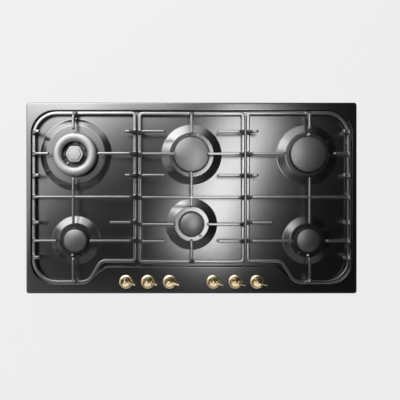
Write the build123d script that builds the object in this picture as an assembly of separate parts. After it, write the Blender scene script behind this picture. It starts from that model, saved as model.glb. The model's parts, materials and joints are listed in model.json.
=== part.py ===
from build123d import *
import math
import os

os.makedirs("parts", exist_ok=True)

# A built-in gas cooktop, in millimetres. +X right, +Y to the rear, +Z up.
# The origin is at the centre of the worktop opening, level with the worktop's top face.

# ---- pressed hob top
HOB_WIDTH = 900.0
HOB_DEPTH = 520.0
HOB_CORNER_R = 7.0
SHEET = 1.2
RIM_TOP = 9.0
WELL_DEPTH = 7.0
WELL_BEVEL = 4.5
SIDE_BORDER = 12.5
REAR_BORDER = 21.0
FRONT_BORDER = 23.5
WELL_CORNER_R = 65.0
PANEL_HALF_WIDTH = 234.0
PANEL_DEPTH = 72.5
PANEL_SLANT = 54.0
PANEL_CORNER_R = 22.0
RETURN_WIDTH = 9.0
GASKET_HEIGHT = 3.0
GASKET_WIDTH = 7.5

# ---- burner places: centre x, y
SIDE_BURNER_X = HOB_WIDTH / 2 - 135.0
REAR_ROW_Y = HOB_DEPTH / 2 - 142.0
FRONT_ROW_Y = -HOB_DEPTH / 2 + 145.0
WOK_AT = (-SIDE_BURNER_X, REAR_ROW_Y)
REAR_CENTRE_AT = (0.0, REAR_ROW_Y)
REAR_RIGHT_AT = (SIDE_BURNER_X, REAR_ROW_Y)
FRONT_LEFT_AT = (-SIDE_BURNER_X, FRONT_ROW_Y)
FRONT_CENTRE_STEP = 44.0
FRONT_CENTRE_AT = (0.0, FRONT_ROW_Y + FRONT_CENTRE_STEP)
FRONT_RIGHT_AT = (SIDE_BURNER_X, FRONT_ROW_Y)
CONE_RISE = 8.0

# ---- burner box under the top
BOX_HALF_WIDTH = HOB_WIDTH / 2 - 26.0
BOX_FRONT_Y = -HOB_DEPTH / 2 + 17.0
BOX_REAR_Y = HOB_DEPTH / 2 - 38.0
BOX_BOTTOM = -50.0
BOX_SHEET = 1.0
BOX_CORNER_R = 10.0
BOX_FLANGE = 10.0

# ---- pan supports
FRAME_WIDTH = 9.0
SUPPORT_GAP = 4.5
CENTRE_HALF_WIDTH = 140.0
SUPPORT_INNER_X = CENTRE_HALF_WIDTH + FRAME_WIDTH + SUPPORT_GAP
SUPPORT_OUTER_X = HOB_WIDTH / 2 - 23.5
SUPPORT_REAR_Y = HOB_DEPTH / 2 - 30.5
SUPPORT_FRONT_Y = -HOB_DEPTH / 2 + 32.0
SUPPORT_NOTCH_Y = SUPPORT_FRONT_Y + 57.0
SUPPORT_SLANT_X = (PANEL_HALF_WIDTH + 11.0, PANEL_HALF_WIDTH + 45.0)
SUPPORT_SLANT_R = (22.0, 30.0)
SUPPORT_CORNER_R = 62.0
CENTRE_FRONT_Y = SUPPORT_NOTCH_Y - 2.0
CROSSBAR_Y = 2.0
WOK_FINGER_GAP = 63.0
MEDIUM_FINGER_GAPS = (51.0, 48.0)
SMALL_FINGER_GAPS = (45.0, 44.0)
SIDE_FINGER_GAP = 42.0
OUTER_STUB = 23.5
INNER_STUB = 25.5
INNER_LONG_STUB = 65.5
CENTRE_STUB = 71.0
REAR_STUB_OFFSETS = (59.0, -58.0)
FRONT_STUB_OFFSETS = (49.0, -44.0)
FRAME_HEIGHT = 11.0
FRAME_CORNER_R = 8.0
SUPPORT_FOOT_HEIGHT = 7.0
RACK_HEIGHT = 46.0
BAR_WIDTH = 6.0
BAR_HEIGHT = 9.0
LEG_SLOPE = 0.42
FOOT_R = 4.5
FOOT_PAD_HEIGHT = 4.0
FOOT_STEM_R = 2.2
FOOT_STEM = 7.0
FOOT_ROWS_Y = (-135.0, 10.0, 150.0)

# ---- burners
POT_FLANGE = 2.5
POT_WALL = 3.5
POT_FLOOR = 15.0
POT_BOTTOM = -30.0
SEAT_RISE = 2.5
CROWN_HEIGHT = 10.0
CROWN_WALL = 4.0
CROWN_FLOOR = 2.5
CROWN_FLARE = 2.0
MIXER_BOTTOM = -1.0
MIXER_WALL = 2.0
CAP_THICK = 3.5
CAP_DOME = 2.5
CAP_SPIGOT = 2.0
CAP_SPIGOT_WALL = 2.5
MIXER_GAP = 3.0
SLIP = 0.4
PORT_WIDTH = 1.8
PORT_DEPTH = 4.0

# ---- injectors
INJECTOR_R = 3.5
INJECTOR_BORE_R = 1.6
INJECTOR_HEX_ACROSS = 9.0
INJECTOR_HEX = 5.0
INJECTOR_TIP_R = 2.8
INJECTOR_TIP = 4.0
JET_R = 0.6

# ---- wok burner
WOK_RING_R = 59.5
WOK_RING_BORE_R = 34.6
WOK_RING_HEIGHT = 12.0
WOK_HUB_ACROSS = 44.0
WOK_HUB_CORNER_R = 11.0
WOK_HUB_THICK = 5.5
WOK_TABLE_ACROSS = (33.5, 30.5)
WOK_TABLE_RISE = 2.0
WOK_TABLE_CORNER_R = 1.5
WOK_INNER_R = 21.0
WOK_FLANGE_R = 72.0
WOK_DECK_R = 55.5
WOK_MIXER_OFFSET = -46.5
WOK_MIXER_R = 8.5
WOK_CUP_R = 18.0
WOK_RING_CUP_R = 15.0
WOK_CHANNEL_BORE_R = 37.5
WOK_CHANNEL_R = 57.0
WOK_RING_PORTS = 48
WOK_BORE_PORTS = 24
WOK_INNER_PORTS = 18
BRIDGE_WIDTH = 13.0
BRIDGE_ANGLES = (86.0, 180.0, 0.0)

# ---- ignition and flame sensing
CERAMIC_R = 3.0
CERAMIC_TOP = 20.0
CERAMIC_BOTTOM = -14.0
SPARK_TIP_R = 0.9
SPARK_TIP = 5.0
SENSOR_R = 2.0
SENSOR_TOP = 24.0
SENSOR_NUT_R = 4.0
LEAD_R = 1.5
LEAD_Z = -10.0
LEAD_BEND_R = 15.0

# ---- knobs and taps
KNOB_PITCH = 59.5
KNOB_Y = -HOB_DEPTH / 2 + 32.0
KNOB_R = 13.0
KNOB_HEIGHT = 21.0
KNOB_WAIST = 0.86
KNOB_SHOULDER = 0.95
KNOB_SLOPE = 50.0
KNOB_TIP_R = 4.5
KNOB_LIFT = 4.2
KNOB_PUSH = 3.0
POINTER_REACH = 28.7
POINTER_WIDTH = 5.5
POINTER_ANGLE = -16.0
BEZEL_R = 18.4
BEZEL_BORE_R = KNOB_R + 0.8
BEZEL_HEIGHT = 3.0
BEZEL_EDGE = 1.2
STEM_R = 4.0
STEM_GRIP = 13.0
STEM_CLEARANCE = 0.05
PANEL_HOLE_R = 6.0
TAP_R = 12.0
TAP_BOTTOM = -44.0
TAP_TOP = -6.0
TAP_BONNET = 3.0
PLUG_TOP = -15.0
PLUG_BOTTOM = -40.0
PLUG_TOP_R = 7.5
PLUG_BOTTOM_R = 5.5
PLUG_CLEARANCE = 0.04
TONGUE_WIDTH = 2.6
TONGUE_DEPTH = 5.0
TONGUE_CLEARANCE = 0.06

# ---- gas supply
RAIL_R = 8.0
RAIL_WALL = 1.5
RAIL_Z = -37.0
RAIL_Y = KNOB_Y + 25.0
FEED_X = BOX_HALF_WIDTH - 24.0
FEED_BEND_R = 30.0
INLET_THREAD_R = 10.48
INLET_THREAD = 14.0
INLET_NECK_R = 9.4
INLET_NECK = 2.0
INLET_BORE_R = 6.0
INLET_NUT_ACROSS = 23.0
TUBE_R = 4.0
TUBE_WALL = 1.0
TUBE_Z = -22.0
TUBE_BEND_R = 22.0
NIPPLE_R = 5.5
NIPPLE_END_Y = KNOB_Y + 38.0
WOK_TUBE_SPACING = 14.0

# ---- fixings
CLAMP_WIDTH = 20.0
CLAMP_ARM = 21.0
CLAMP_SHEET = 1.5
CLAMP_TOP = -8.0
CLAMP_DROP = 32.0
CLAMP_SCREW_R = 2.0
BOX_SCREW_R = 1.9
BOX_SCREW_PITCH = 220.0
BOX_SCREW_ROWS_Y = (-60.0, 90.0)
CLAMP_ROWS_Y = (-150.0, 140.0)
GLAND_R = 8.0
GLAND_BORE_R = 4.0
GLAND_AT_X = 94.0 - BOX_HALF_WIDTH
GLAND_Z = -28.0

WELL_FLOOR = RIM_TOP - WELL_DEPTH
PLATEAU = WELL_FLOOR + CONE_RISE
PLATEAU_UNDER = PLATEAU - SHEET
SEAT_Z = PLATEAU + SEAT_RISE
CROWN_TOP = SEAT_Z + CROWN_HEIGHT
FRAME_BOTTOM = WELL_FLOOR + SUPPORT_FOOT_HEIGHT
FRAME_TOP = FRAME_BOTTOM + FRAME_HEIGHT
RACK_TOP = WELL_FLOOR + RACK_HEIGHT
POT_INSIDE = POT_BOTTOM + POT_FLOOR
BOX_FLOOR = BOX_BOTTOM + BOX_SHEET
KNOB_X = [side * KNOB_PITCH * step for side, step in ((-1, 3), (-1, 2), (-1, 1), (1, 1), (1, 2), (1, 3))]


class Burner:
    """One round burner: where it stands and its own radii."""

    def __init__(self, name, at, cone_r, plateau_r, crown_r, cap_r, pot_r, ports, spark, sensor, inlet):
        self.name = name
        self.at = at
        self.cone_r = cone_r
        self.plateau_r = plateau_r
        self.crown_r = crown_r
        self.cap_r = cap_r
        self.pot_r = pot_r
        self.ports = ports
        self.spark = spark
        self.sensor = sensor
        self.inlet = inlet


MEDIUM = dict(cone_r=82.0, plateau_r=60.0, crown_r=50.0, cap_r=46.5, pot_r=20.0, ports=40)
SMALL = dict(cone_r=65.5, plateau_r=47.0, crown_r=35.5, cap_r=30.0, pot_r=16.0, ports=28)
SMALL_WIDE = dict(SMALL, cone_r=69.5)
MEDIUM_PIN_R = 54.5
SMALL_PIN_R = 40.3


def on_circle(radius, angle):
    """Point on a circle, the angle in degrees from +X."""
    turn = math.radians(angle)
    return (radius * math.cos(turn), radius * math.sin(turn))


BURNERS = [
    Burner("rear_centre", REAR_CENTRE_AT, spark=on_circle(MEDIUM_PIN_R, 72.5),
           sensor=on_circle(MEDIUM_PIN_R, 108.0), inlet=0.0, **MEDIUM),
    Burner("rear_right", REAR_RIGHT_AT, spark=on_circle(MEDIUM_PIN_R, 86.0),
           sensor=on_circle(MEDIUM_PIN_R, 122.0), inlet=180.0, **MEDIUM),
    Burner("front_left", FRONT_LEFT_AT, spark=on_circle(SMALL_PIN_R, -101.0),
           sensor=on_circle(SMALL_PIN_R, -58.0), inlet=0.0, **SMALL),
    Burner("front_centre", FRONT_CENTRE_AT, spark=on_circle(SMALL_PIN_R, -96.0),
           sensor=on_circle(SMALL_PIN_R, -53.0), inlet=180.0, **SMALL_WIDE),
    Burner("front_right", FRONT_RIGHT_AT, spark=on_circle(SMALL_PIN_R, -89.0),
           sensor=on_circle(SMALL_PIN_R, -122.0), inlet=180.0, **SMALL),
]
WOK_CONE_R = 97.5
WOK_PLATEAU_R = 80.0
WOK_SPARK = on_circle(31.0, -130.0)
WOK_SENSOR = on_circle(29.0, 29.0)


def shifted(shape, at, height=0.0):
    """The shape moved to a place in plan and a height."""
    return Pos(at[0], at[1], height) * shape


def disc(radius, bottom, top, at=(0.0, 0.0)):
    """Upright cylinder between two heights."""
    return Pos(at[0], at[1], (bottom + top) / 2) * Cylinder(radius, top - bottom)


def ring(outer_r, inner_r, bottom, top, at=(0.0, 0.0)):
    """Upright tube between two heights."""
    return disc(outer_r, bottom, top, at) - disc(inner_r, bottom - 1, top + 1, at)


def block(x_range, y_range, z_range):
    """Box between two corners given as ranges."""
    centre = [(low + high) / 2 for low, high in (x_range, y_range, z_range)]
    size = [high - low for low, high in (x_range, y_range, z_range)]
    return Pos(*centre) * Box(*size)


def turned(points):
    """Solid of revolution about Z of a closed outline given as (radius, height) points."""
    outline = Polyline(*[(r, 0, z) for r, z in points], close=True)
    return revolve(make_face(outline), Axis.Z)


def domed(side_points, top):
    """Solid of revolution: straight-sided up to the last (radius, height) point, then a spherical dome."""
    edge_r, edge_z = side_points[-1]
    rise = top - edge_z
    sphere_r = (edge_r ** 2 + rise ** 2) / (2 * rise)
    half_turn = math.asin(edge_r / sphere_r) / 2
    middle = (sphere_r * math.sin(half_turn), 0, top - sphere_r * (1 - math.cos(half_turn)))
    base_z = side_points[0][1]
    side = Polyline((0, 0, base_z), *[(r, 0, z) for r, z in side_points])
    crown_line = ThreePointArc((edge_r, 0, edge_z), middle, (0, 0, top))
    axis_line = Line((0, 0, top), (0, 0, base_z))
    return revolve(make_face(side + crown_line + axis_line), Axis.Z)


def coned(side_points, shoulder_r, top):
    """Solid of revolution: straight-sided up to a shoulder, then a steep cone with a spherical tip."""
    slope = math.radians(KNOB_SLOPE)
    tip = (KNOB_TIP_R * math.sin(slope), top - KNOB_TIP_R * (1 - math.cos(slope)))
    middle = (KNOB_TIP_R * math.sin(slope / 2), top - KNOB_TIP_R * (1 - math.cos(slope / 2)))
    shoulder = (shoulder_r, tip[1] - (shoulder_r - tip[0]) * math.tan(slope))
    base_z = side_points[0][1]
    side = Polyline((0, 0, base_z), *[(r, 0, z) for r, z in [*side_points, shoulder, tip]])
    round_tip = ThreePointArc((tip[0], 0, tip[1]), (middle[0], 0, middle[1]), (0, 0, top))
    axis_line = Line((0, 0, top), (0, 0, base_z))
    return revolve(make_face(side + round_tip + axis_line), Axis.Z)


def rod_along_x(radius, x_range, y, z):
    """Round bar along X."""
    length = x_range[1] - x_range[0]
    return Pos((x_range[0] + x_range[1]) / 2, y, z) * Rot(0, 90, 0) * Cylinder(radius, length)


def rod_along_y(radius, x, y_range, z):
    """Round bar along Y."""
    length = y_range[1] - y_range[0]
    return Pos(x, (y_range[0] + y_range[1]) / 2, z) * Rot(90, 0, 0) * Cylinder(radius, length)


def bent_tube(points, bend_radii, outer_r, inner_r=0.0):
    """Round tube along straight runs joined by tangent arcs; a bore of zero gives a rod."""
    if len(points) == 2:
        path = Line(*points)
    else:
        path = FilletPolyline(*points, radius=bend_radii)
    start = Plane(origin=path @ 0, z_dir=path % 0)
    section = start * Circle(outer_r)
    if inner_r > 0:
        section = section - start * Circle(inner_r)
    return sweep(section, path=path)


def group(solids):
    """Several separate solids that share one node."""
    flat = []
    for item in solids:
        flat.extend(item.solids())
    return Compound(children=flat)


# ---------------------------------------------------------------- hob top

def well_face(inset=0.0):
    """Plan of the sunken well: rounded corners and a notch for the control panel."""
    side = HOB_WIDTH / 2 - SIDE_BORDER
    rear = HOB_DEPTH / 2 - REAR_BORDER
    front = -HOB_DEPTH / 2 + FRONT_BORDER
    notch = -HOB_DEPTH / 2 + PANEL_DEPTH
    slant_end = PANEL_HALF_WIDTH + PANEL_SLANT
    half = [(slant_end, front), (side, front), (side, rear)]
    mirrored = [(-x, y) for x, y in reversed(half)]
    points = [(PANEL_HALF_WIDTH, notch)] + half + mirrored + [(-PANEL_HALF_WIDTH, notch)]
    radii = [PANEL_CORNER_R, PANEL_CORNER_R, WELL_CORNER_R, WELL_CORNER_R]
    face = make_face(FilletPolyline(*points, radius=radii + radii[::-1], close=True))
    if inset == 0.0:
        return face
    return offset(face, amount=-inset)


def well_plug(grow, drop):
    """Tapered block that fills the well, grown outward and lowered."""
    angle = math.degrees(math.atan2(WELL_BEVEL, WELL_DEPTH))
    top_face = Pos(0, 0, RIM_TOP - drop) * well_face(-grow)
    return extrude(top_face, amount=-WELL_DEPTH, taper=angle)


def cone(at, cone_r, plateau_r, drop):
    """Low truncated cone pressed up in the well's floor."""
    bottom = WELL_FLOOR - drop
    shape = Cone(cone_r, plateau_r, CONE_RISE)
    return Pos(at[0], at[1], bottom + CONE_RISE / 2) * shape


def all_cones(drop):
    """Every raised cone, as the outer or the inner face of the sheet."""
    cones = [cone(WOK_AT, WOK_CONE_R, WOK_PLATEAU_R, drop)]
    cones += [cone(burner.at, burner.cone_r, burner.plateau_r, drop) for burner in BURNERS]
    return cones


def pin_holes():
    """Clearance holes for the electrodes and flame sensors."""
    cuts = []
    for burner in BURNERS:
        for pin, radius in ((burner.spark, CERAMIC_R), (burner.sensor, SENSOR_NUT_R)):
            place = (burner.at[0] + pin[0], burner.at[1] + pin[1])
            cuts.append(disc(radius + SLIP / 4, WELL_FLOOR, PLATEAU + 1, place))
    return cuts


def hob_top():
    """Pressed sheet: rim, returned edge, sunken well, burner cones and control panel."""
    outer = extrude(RectangleRounded(HOB_WIDTH, HOB_DEPTH, HOB_CORNER_R), amount=RIM_TOP - GASKET_HEIGHT)
    shell = Pos(0, 0, GASKET_HEIGHT) * outer
    inner_w = HOB_WIDTH - 2 * SHEET
    inner_d = HOB_DEPTH - 2 * SHEET
    hollow = extrude(RectangleRounded(inner_w, inner_d, HOB_CORNER_R - SHEET),
                     amount=RIM_TOP - GASKET_HEIGHT - 2 * SHEET)
    shell -= Pos(0, 0, GASKET_HEIGHT + SHEET) * hollow
    mouth = extrude(RectangleRounded(HOB_WIDTH - 2 * RETURN_WIDTH, HOB_DEPTH - 2 * RETURN_WIDTH, 2.0),
                    amount=3 * SHEET)
    shell -= Pos(0, 0, GASKET_HEIGHT - SHEET) * mouth
    shell += well_plug(SHEET, SHEET)
    shell -= well_plug(0.0, 0.0)
    shell -= Pos(0, 0, WELL_FLOOR) * extrude(well_face(WELL_BEVEL), amount=0.01)
    for shape in all_cones(0.0):
        shell += shape
    for shape in all_cones(SHEET):
        shell -= shape
    for burner in BURNERS:
        shell -= disc(pot_spigot_r(burner) + SLIP, WELL_FLOOR, PLATEAU + 1, burner.at)
    shell -= disc(WOK_DECK_R + SLIP, WELL_FLOOR, PLATEAU + 1, WOK_AT)
    for cut in pin_holes():
        shell -= cut
    for x in KNOB_X:
        shell -= disc(PANEL_HOLE_R, RIM_TOP - 2 * SHEET, RIM_TOP + 1, (x, KNOB_Y))
    return shell


def worktop_gasket():
    """Foam strip under the returned edge, all round."""
    outer = RectangleRounded(HOB_WIDTH - 2 * SHEET, HOB_DEPTH - 2 * SHEET, HOB_CORNER_R - SHEET)
    inner_w = HOB_WIDTH - 2 * (SHEET + GASKET_WIDTH)
    inner_d = HOB_DEPTH - 2 * (SHEET + GASKET_WIDTH)
    inner = RectangleRounded(inner_w, inner_d, 2.0)
    return extrude(outer - inner, amount=GASKET_HEIGHT)


# ---------------------------------------------------------------- burner box

def box_outline(inset):
    """Plan of the burner box, drawn in by inset."""
    width = 2 * (BOX_HALF_WIDTH - inset)
    depth = BOX_REAR_Y - BOX_FRONT_Y - 2 * inset
    middle = (BOX_REAR_Y + BOX_FRONT_Y) / 2
    return Pos(0, middle) * RectangleRounded(width, depth, max(BOX_CORNER_R - inset, BOX_SHEET))


def box_screw_places():
    """Where the box flange is screwed up to the hob top."""
    inset = BOX_SHEET + BOX_FLANGE / 2
    x_side = BOX_HALF_WIDTH - inset
    y_rear = BOX_REAR_Y - inset
    sides = [(side * x_side, y) for side in (-1, 1) for y in BOX_SCREW_ROWS_Y]
    rear = [(x, y_rear) for x in (-BOX_SCREW_PITCH, 0.0, BOX_SCREW_PITCH)]
    return sides + rear


def clamp_places():
    """Side and y of the four worktop clamps."""
    return [(side, y) for side in (-1, 1) for y in CLAMP_ROWS_Y]


def burner_box():
    """Open-topped sheet box with an inward flange and a taller front tab under the panel."""
    flange_top = WELL_FLOOR - SHEET
    shell = Pos(0, 0, BOX_BOTTOM) * extrude(box_outline(0.0), amount=flange_top - BOX_BOTTOM)
    inside = extrude(box_outline(BOX_SHEET), amount=flange_top - BOX_SHEET - BOX_FLOOR)
    shell -= Pos(0, 0, BOX_FLOOR) * inside
    mouth = extrude(box_outline(BOX_SHEET + BOX_FLANGE), amount=3 * BOX_SHEET)
    shell -= Pos(0, 0, flange_top - 2 * BOX_SHEET) * mouth
    tab_half = PANEL_HALF_WIDTH
    open_y = (BOX_FRONT_Y + BOX_SHEET, BOX_FRONT_Y + BOX_FLANGE * 3)
    open_x = (-tab_half, tab_half)
    shell -= block(open_x, open_y, (flange_top - 2 * BOX_SHEET, flange_top + 1))
    tab_y = (BOX_FRONT_Y, BOX_FRONT_Y + BOX_SHEET)
    shell += block(open_x, tab_y, (flange_top - BOX_SHEET, RIM_TOP - SHEET))
    for place in box_screw_places():
        shell -= disc(BOX_SCREW_R, flange_top - 2 * BOX_SHEET, flange_top + 1, place)
    for side, y in clamp_places():
        wall = (side * BOX_HALF_WIDTH - 2, side * BOX_HALF_WIDTH + 2)
        shell -= rod_along_x(CLAMP_SCREW_R, wall, y, clamp_screw_z())
    rear_wall = (BOX_REAR_Y - 2, BOX_REAR_Y + 2)
    shell -= rod_along_y(INLET_THREAD_R + 0.5, FEED_X, rear_wall, RAIL_Z)
    shell -= rod_along_y(GLAND_R, GLAND_AT_X, rear_wall, GLAND_Z)
    return shell


def box_screws():
    """Self-tapping screws that hold the box flange to the hob top."""
    flange_under = WELL_FLOOR - SHEET - BOX_SHEET
    screws = []
    for place in box_screw_places():
        head = disc(2 * BOX_SCREW_R, flange_under - 2.5, flange_under, place)
        shank = disc(BOX_SCREW_R, flange_under - 1.0, WELL_FLOOR - SHEET, place)
        screws.append(head + shank)
    return group(screws)


def clamp_screw_z():
    """Height of the screw that holds each clamp to the box wall."""
    return CLAMP_TOP - CLAMP_DROP / 3


def fixing_clamps():
    """Bent steel clamps on the box sides; the arm grips the worktop from below."""
    clamps = []
    for side, y in clamp_places():
        wall = BOX_HALF_WIDTH
        leg_x = sorted((side * wall, side * (wall + CLAMP_SHEET)))
        arm_x = sorted((side * wall, side * (wall + CLAMP_ARM)))
        y_range = (y - CLAMP_WIDTH / 2, y + CLAMP_WIDTH / 2)
        low = CLAMP_TOP - CLAMP_DROP
        leg = block(leg_x, y_range, (low, CLAMP_TOP))
        arm = block(arm_x, y_range, (low, low + CLAMP_SHEET))
        lip_x = sorted((side * (wall + CLAMP_ARM - CLAMP_SHEET), side * (wall + CLAMP_ARM)))
        lip = block(lip_x, y_range, (low, low + 3 * CLAMP_SHEET))
        hole = rod_along_x(CLAMP_SCREW_R, (side * wall - 3, side * wall + 3), y, clamp_screw_z())
        clamps.append(leg + arm + lip - hole)
    return group(clamps)


def clamp_screws():
    """Screws through each clamp into the box wall."""
    screws = []
    for side, y in clamp_places():
        z = clamp_screw_z()
        face = BOX_HALF_WIDTH + CLAMP_SHEET
        shank = rod_along_x(CLAMP_SCREW_R, sorted((side * (BOX_HALF_WIDTH - 5), side * face)), y, z)
        head = rod_along_x(2 * CLAMP_SCREW_R, sorted((side * face, side * (face + 2.4))), y, z)
        screws.append(shank + head)
    return group(screws)


# ---------------------------------------------------------------- pan supports

def frame_bar(centre_line, radii):
    """Closed low bar that follows a plan centre line."""
    face = make_face(FilletPolyline(*centre_line, radius=radii, close=True))
    band = offset(face, amount=FRAME_WIDTH / 2) - offset(face, amount=-FRAME_WIDTH / 2)
    bar = Pos(0, 0, FRAME_BOTTOM) * extrude(band, amount=FRAME_HEIGHT)
    return bar


def rack_bar(start, end, start_leg, end_leg):
    """Tall thin bar for the pans; a leg joins it to the frame, a free end is a plain tip."""
    length = math.hypot(end[0] - start[0], end[1] - start[1])
    rise = RACK_TOP - FRAME_TOP
    under = RACK_TOP - BAR_HEIGHT
    gusset = min(0.9 * rise, 0.7 * length)

    def half(leg):
        if leg:
            return [(-FRAME_WIDTH / 2, FRAME_BOTTOM), (-FRAME_WIDTH / 2, FRAME_TOP),
                    (-FRAME_WIDTH / 2 + LEG_SLOPE * rise, RACK_TOP - 2.0),
                    (-FRAME_WIDTH / 2 + (LEG_SLOPE + 0.12) * rise, RACK_TOP)]
        return [(0.0, under + 1.0), (0.0, RACK_TOP - 1.5), (1.5, RACK_TOP)]

    def belly(leg):
        return [(gusset, under), (FRAME_WIDTH / 2 + 1.0, FRAME_BOTTOM)] if leg else []

    top = half(start_leg) + [(length - s, z) for s, z in reversed(half(end_leg))]
    bottom = [(length - s, z) for s, z in reversed(belly(end_leg))] + belly(start_leg)
    outline = make_face(Polyline(*[(s, 0, z) for s, z in top + bottom], close=True))
    bar = extrude(outline, amount=BAR_WIDTH / 2, both=True, dir=(0, 1, 0))
    heading = math.degrees(math.atan2(end[1] - start[1], end[0] - start[0]))
    return Pos(start[0], start[1], 0) * Rot(0, 0, heading) * bar


def foot_pad(place):
    """Cast pad under the frame with a blind hole for the rubber foot's stem."""
    pad = disc(FOOT_R + 0.5, FRAME_BOTTOM - FOOT_PAD_HEIGHT, FRAME_BOTTOM + 1.0, place)
    return pad


def add_feet_pads(casting, places):
    """Pads and their holes under a frame."""
    for place in places:
        casting += foot_pad(place)
    for place in places:
        low = FRAME_BOTTOM - FOOT_PAD_HEIGHT
        casting -= disc(FOOT_STEM_R, low - 1, low + FOOT_STEM, place)
    return casting


def side_feet():
    """Places of the left support's feet."""
    return [(-x, y) for x in (SUPPORT_OUTER_X, SUPPORT_INNER_X) for y in FOOT_ROWS_Y]


def centre_feet():
    """Places of the centre support's feet."""
    return [(x, y) for x in (-CENTRE_HALF_WIDTH, CENTRE_HALF_WIDTH) for y in FOOT_ROWS_Y]


def pan_support_left():
    """Cast-iron support over the wok burner and the front-left burner."""
    outer, inner = -SUPPORT_OUTER_X, -SUPPORT_INNER_X
    line = [(inner, SUPPORT_REAR_Y), (outer, SUPPORT_REAR_Y), (outer, SUPPORT_FRONT_Y),
            (-SUPPORT_SLANT_X[1], SUPPORT_FRONT_Y), (-SUPPORT_SLANT_X[0], SUPPORT_NOTCH_Y),
            (inner, SUPPORT_NOTCH_Y)]
    radii = [FRAME_CORNER_R, SUPPORT_CORNER_R, SUPPORT_CORNER_R, SUPPORT_SLANT_R[1], SUPPORT_SLANT_R[0],
             FRAME_CORNER_R]
    casting = frame_bar(line, radii)
    x_mid, rear, front = WOK_AT[0], WOK_AT[1], FRONT_LEFT_AT[1]
    bars = [
        ((x_mid, SUPPORT_REAR_Y), (x_mid, rear + WOK_FINGER_GAP), True, False),
        ((x_mid, rear - WOK_FINGER_GAP), (x_mid, front + SMALL_FINGER_GAPS[0]), False, False),
        ((x_mid, SUPPORT_FRONT_Y), (x_mid, front - SMALL_FINGER_GAPS[1]), True, False),
        ((outer, rear), (x_mid - WOK_FINGER_GAP, rear), True, False),
        ((inner, rear), (x_mid + WOK_FINGER_GAP, rear), True, False),
        ((outer, CROSSBAR_Y), (inner, CROSSBAR_Y), True, True),
        ((outer, front), (x_mid - SIDE_FINGER_GAP, front), True, False),
        ((inner, front), (x_mid + SIDE_FINGER_GAP, front), True, False),
    ]
    rear_stubs = [rear + step for step in REAR_STUB_OFFSETS]
    front_stubs = [front + step for step in FRONT_STUB_OFFSETS]
    bars += [((inner, y), (inner - INNER_STUB, y), True, False) for y in rear_stubs]
    bars.append(((inner, front_stubs[0]), (inner - INNER_LONG_STUB, front_stubs[0]), True, False))
    bars += [((outer, y), (outer + OUTER_STUB, y), True, False) for y in rear_stubs + front_stubs]
    for bar in bars:
        casting += rack_bar(*bar)
    return add_feet_pads(casting, side_feet())


def pan_support_right():
    """Mirror image of the left support."""
    return pan_support_left().mirror(Plane.YZ)


def pan_support_centre():
    """Cast-iron support over the two centre burners."""
    half = CENTRE_HALF_WIDTH
    line = [(-half, SUPPORT_REAR_Y - 1.0), (half, SUPPORT_REAR_Y - 1.0),
            (half, CENTRE_FRONT_Y), (-half, CENTRE_FRONT_Y)]
    casting = frame_bar(line, [FRAME_CORNER_R] * 4)
    rear, front = REAR_CENTRE_AT[1], FRONT_CENTRE_AT[1]
    bars = [
        ((0.0, SUPPORT_REAR_Y - 1.0), (0.0, rear + MEDIUM_FINGER_GAPS[0]), True, False),
        ((0.0, rear - MEDIUM_FINGER_GAPS[1]), (0.0, front + SMALL_FINGER_GAPS[0]), False, False),
        ((0.0, CENTRE_FRONT_Y), (0.0, front - SIDE_FINGER_GAP), True, False),
        ((-half, CROSSBAR_Y), (half, CROSSBAR_Y), True, True),
    ]
    stubs = [rear + step for step in REAR_STUB_OFFSETS] + [front - SMALL_FINGER_GAPS[0]]
    for side in (-1, 1):
        edge = side * half
        bars += [((edge, y), (side * SIDE_FINGER_GAP, y), True, False) for y in (rear, front)]
        bars += [((edge, y), (side * (half - CENTRE_STUB), y), True, False) for y in stubs]
    for bar in bars:
        casting += rack_bar(*bar)
    return add_feet_pads(casting, centre_feet())


def support_feet(places):
    """Rubber feet with a stem pressed into each pad."""
    low = FRAME_BOTTOM - FOOT_PAD_HEIGHT
    feet = []
    for place in places:
        sole = disc(FOOT_R, WELL_FLOOR, low, place)
        feet.append(sole + disc(FOOT_STEM_R, low, low + FOOT_STEM - 1.0, place))
    return group(feet)


# ---------------------------------------------------------------- burners

def pot_spigot_r(burner):
    """Radius of the raised seat of a burner cup, inside the plateau's hole."""
    return burner.crown_r - 2 * CROWN_WALL


def mixer_r(burner):
    """Outer radius of the crown's mixing tube."""
    return burner.pot_r - POT_WALL - MIXER_GAP


def burner_cup(burner):
    """Cast cup under the plateau: flange, raised seat, gas drilling and injector thread."""
    flange_r = burner.plateau_r - 1.0
    seat_r = pot_spigot_r(burner)
    cup = disc(flange_r, PLATEAU_UNDER - POT_FLANGE, PLATEAU_UNDER)
    cup += disc(seat_r, PLATEAU_UNDER - POT_FLANGE, SEAT_Z)
    cup += disc(burner.pot_r, POT_BOTTOM, PLATEAU_UNDER)
    boss = rod_along_x(NIPPLE_R, (0.0, burner.pot_r + 6.0), 0.0, TUBE_Z)
    cup += Rot(0, 0, burner.inlet) * boss
    cup -= disc(burner.pot_r - POT_WALL, POT_INSIDE, SEAT_Z + 1)
    cup -= disc(seat_r - 3.0, PLATEAU_UNDER, SEAT_Z + 1)
    socket = rod_along_x(TUBE_R, (burner.pot_r - 2.0, burner.pot_r + 7.0), 0.0, TUBE_Z)
    drilling = rod_along_x(TUBE_R - TUBE_WALL, (0.0, burner.pot_r), 0.0, TUBE_Z)
    cup -= Rot(0, 0, burner.inlet) * (socket + drilling)
    cup -= disc(INJECTOR_R, TUBE_Z, POT_INSIDE + 1)
    for pin, radius in ((burner.spark, CERAMIC_R), (burner.sensor, SENSOR_R)):
        cup -= disc(radius, PLATEAU_UNDER - 2 * POT_FLANGE, PLATEAU, pin)
    return shifted(cup, burner.at)


def burner_cups():
    """Cups of the five round burners."""
    return group([burner_cup(burner) for burner in BURNERS])


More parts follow.
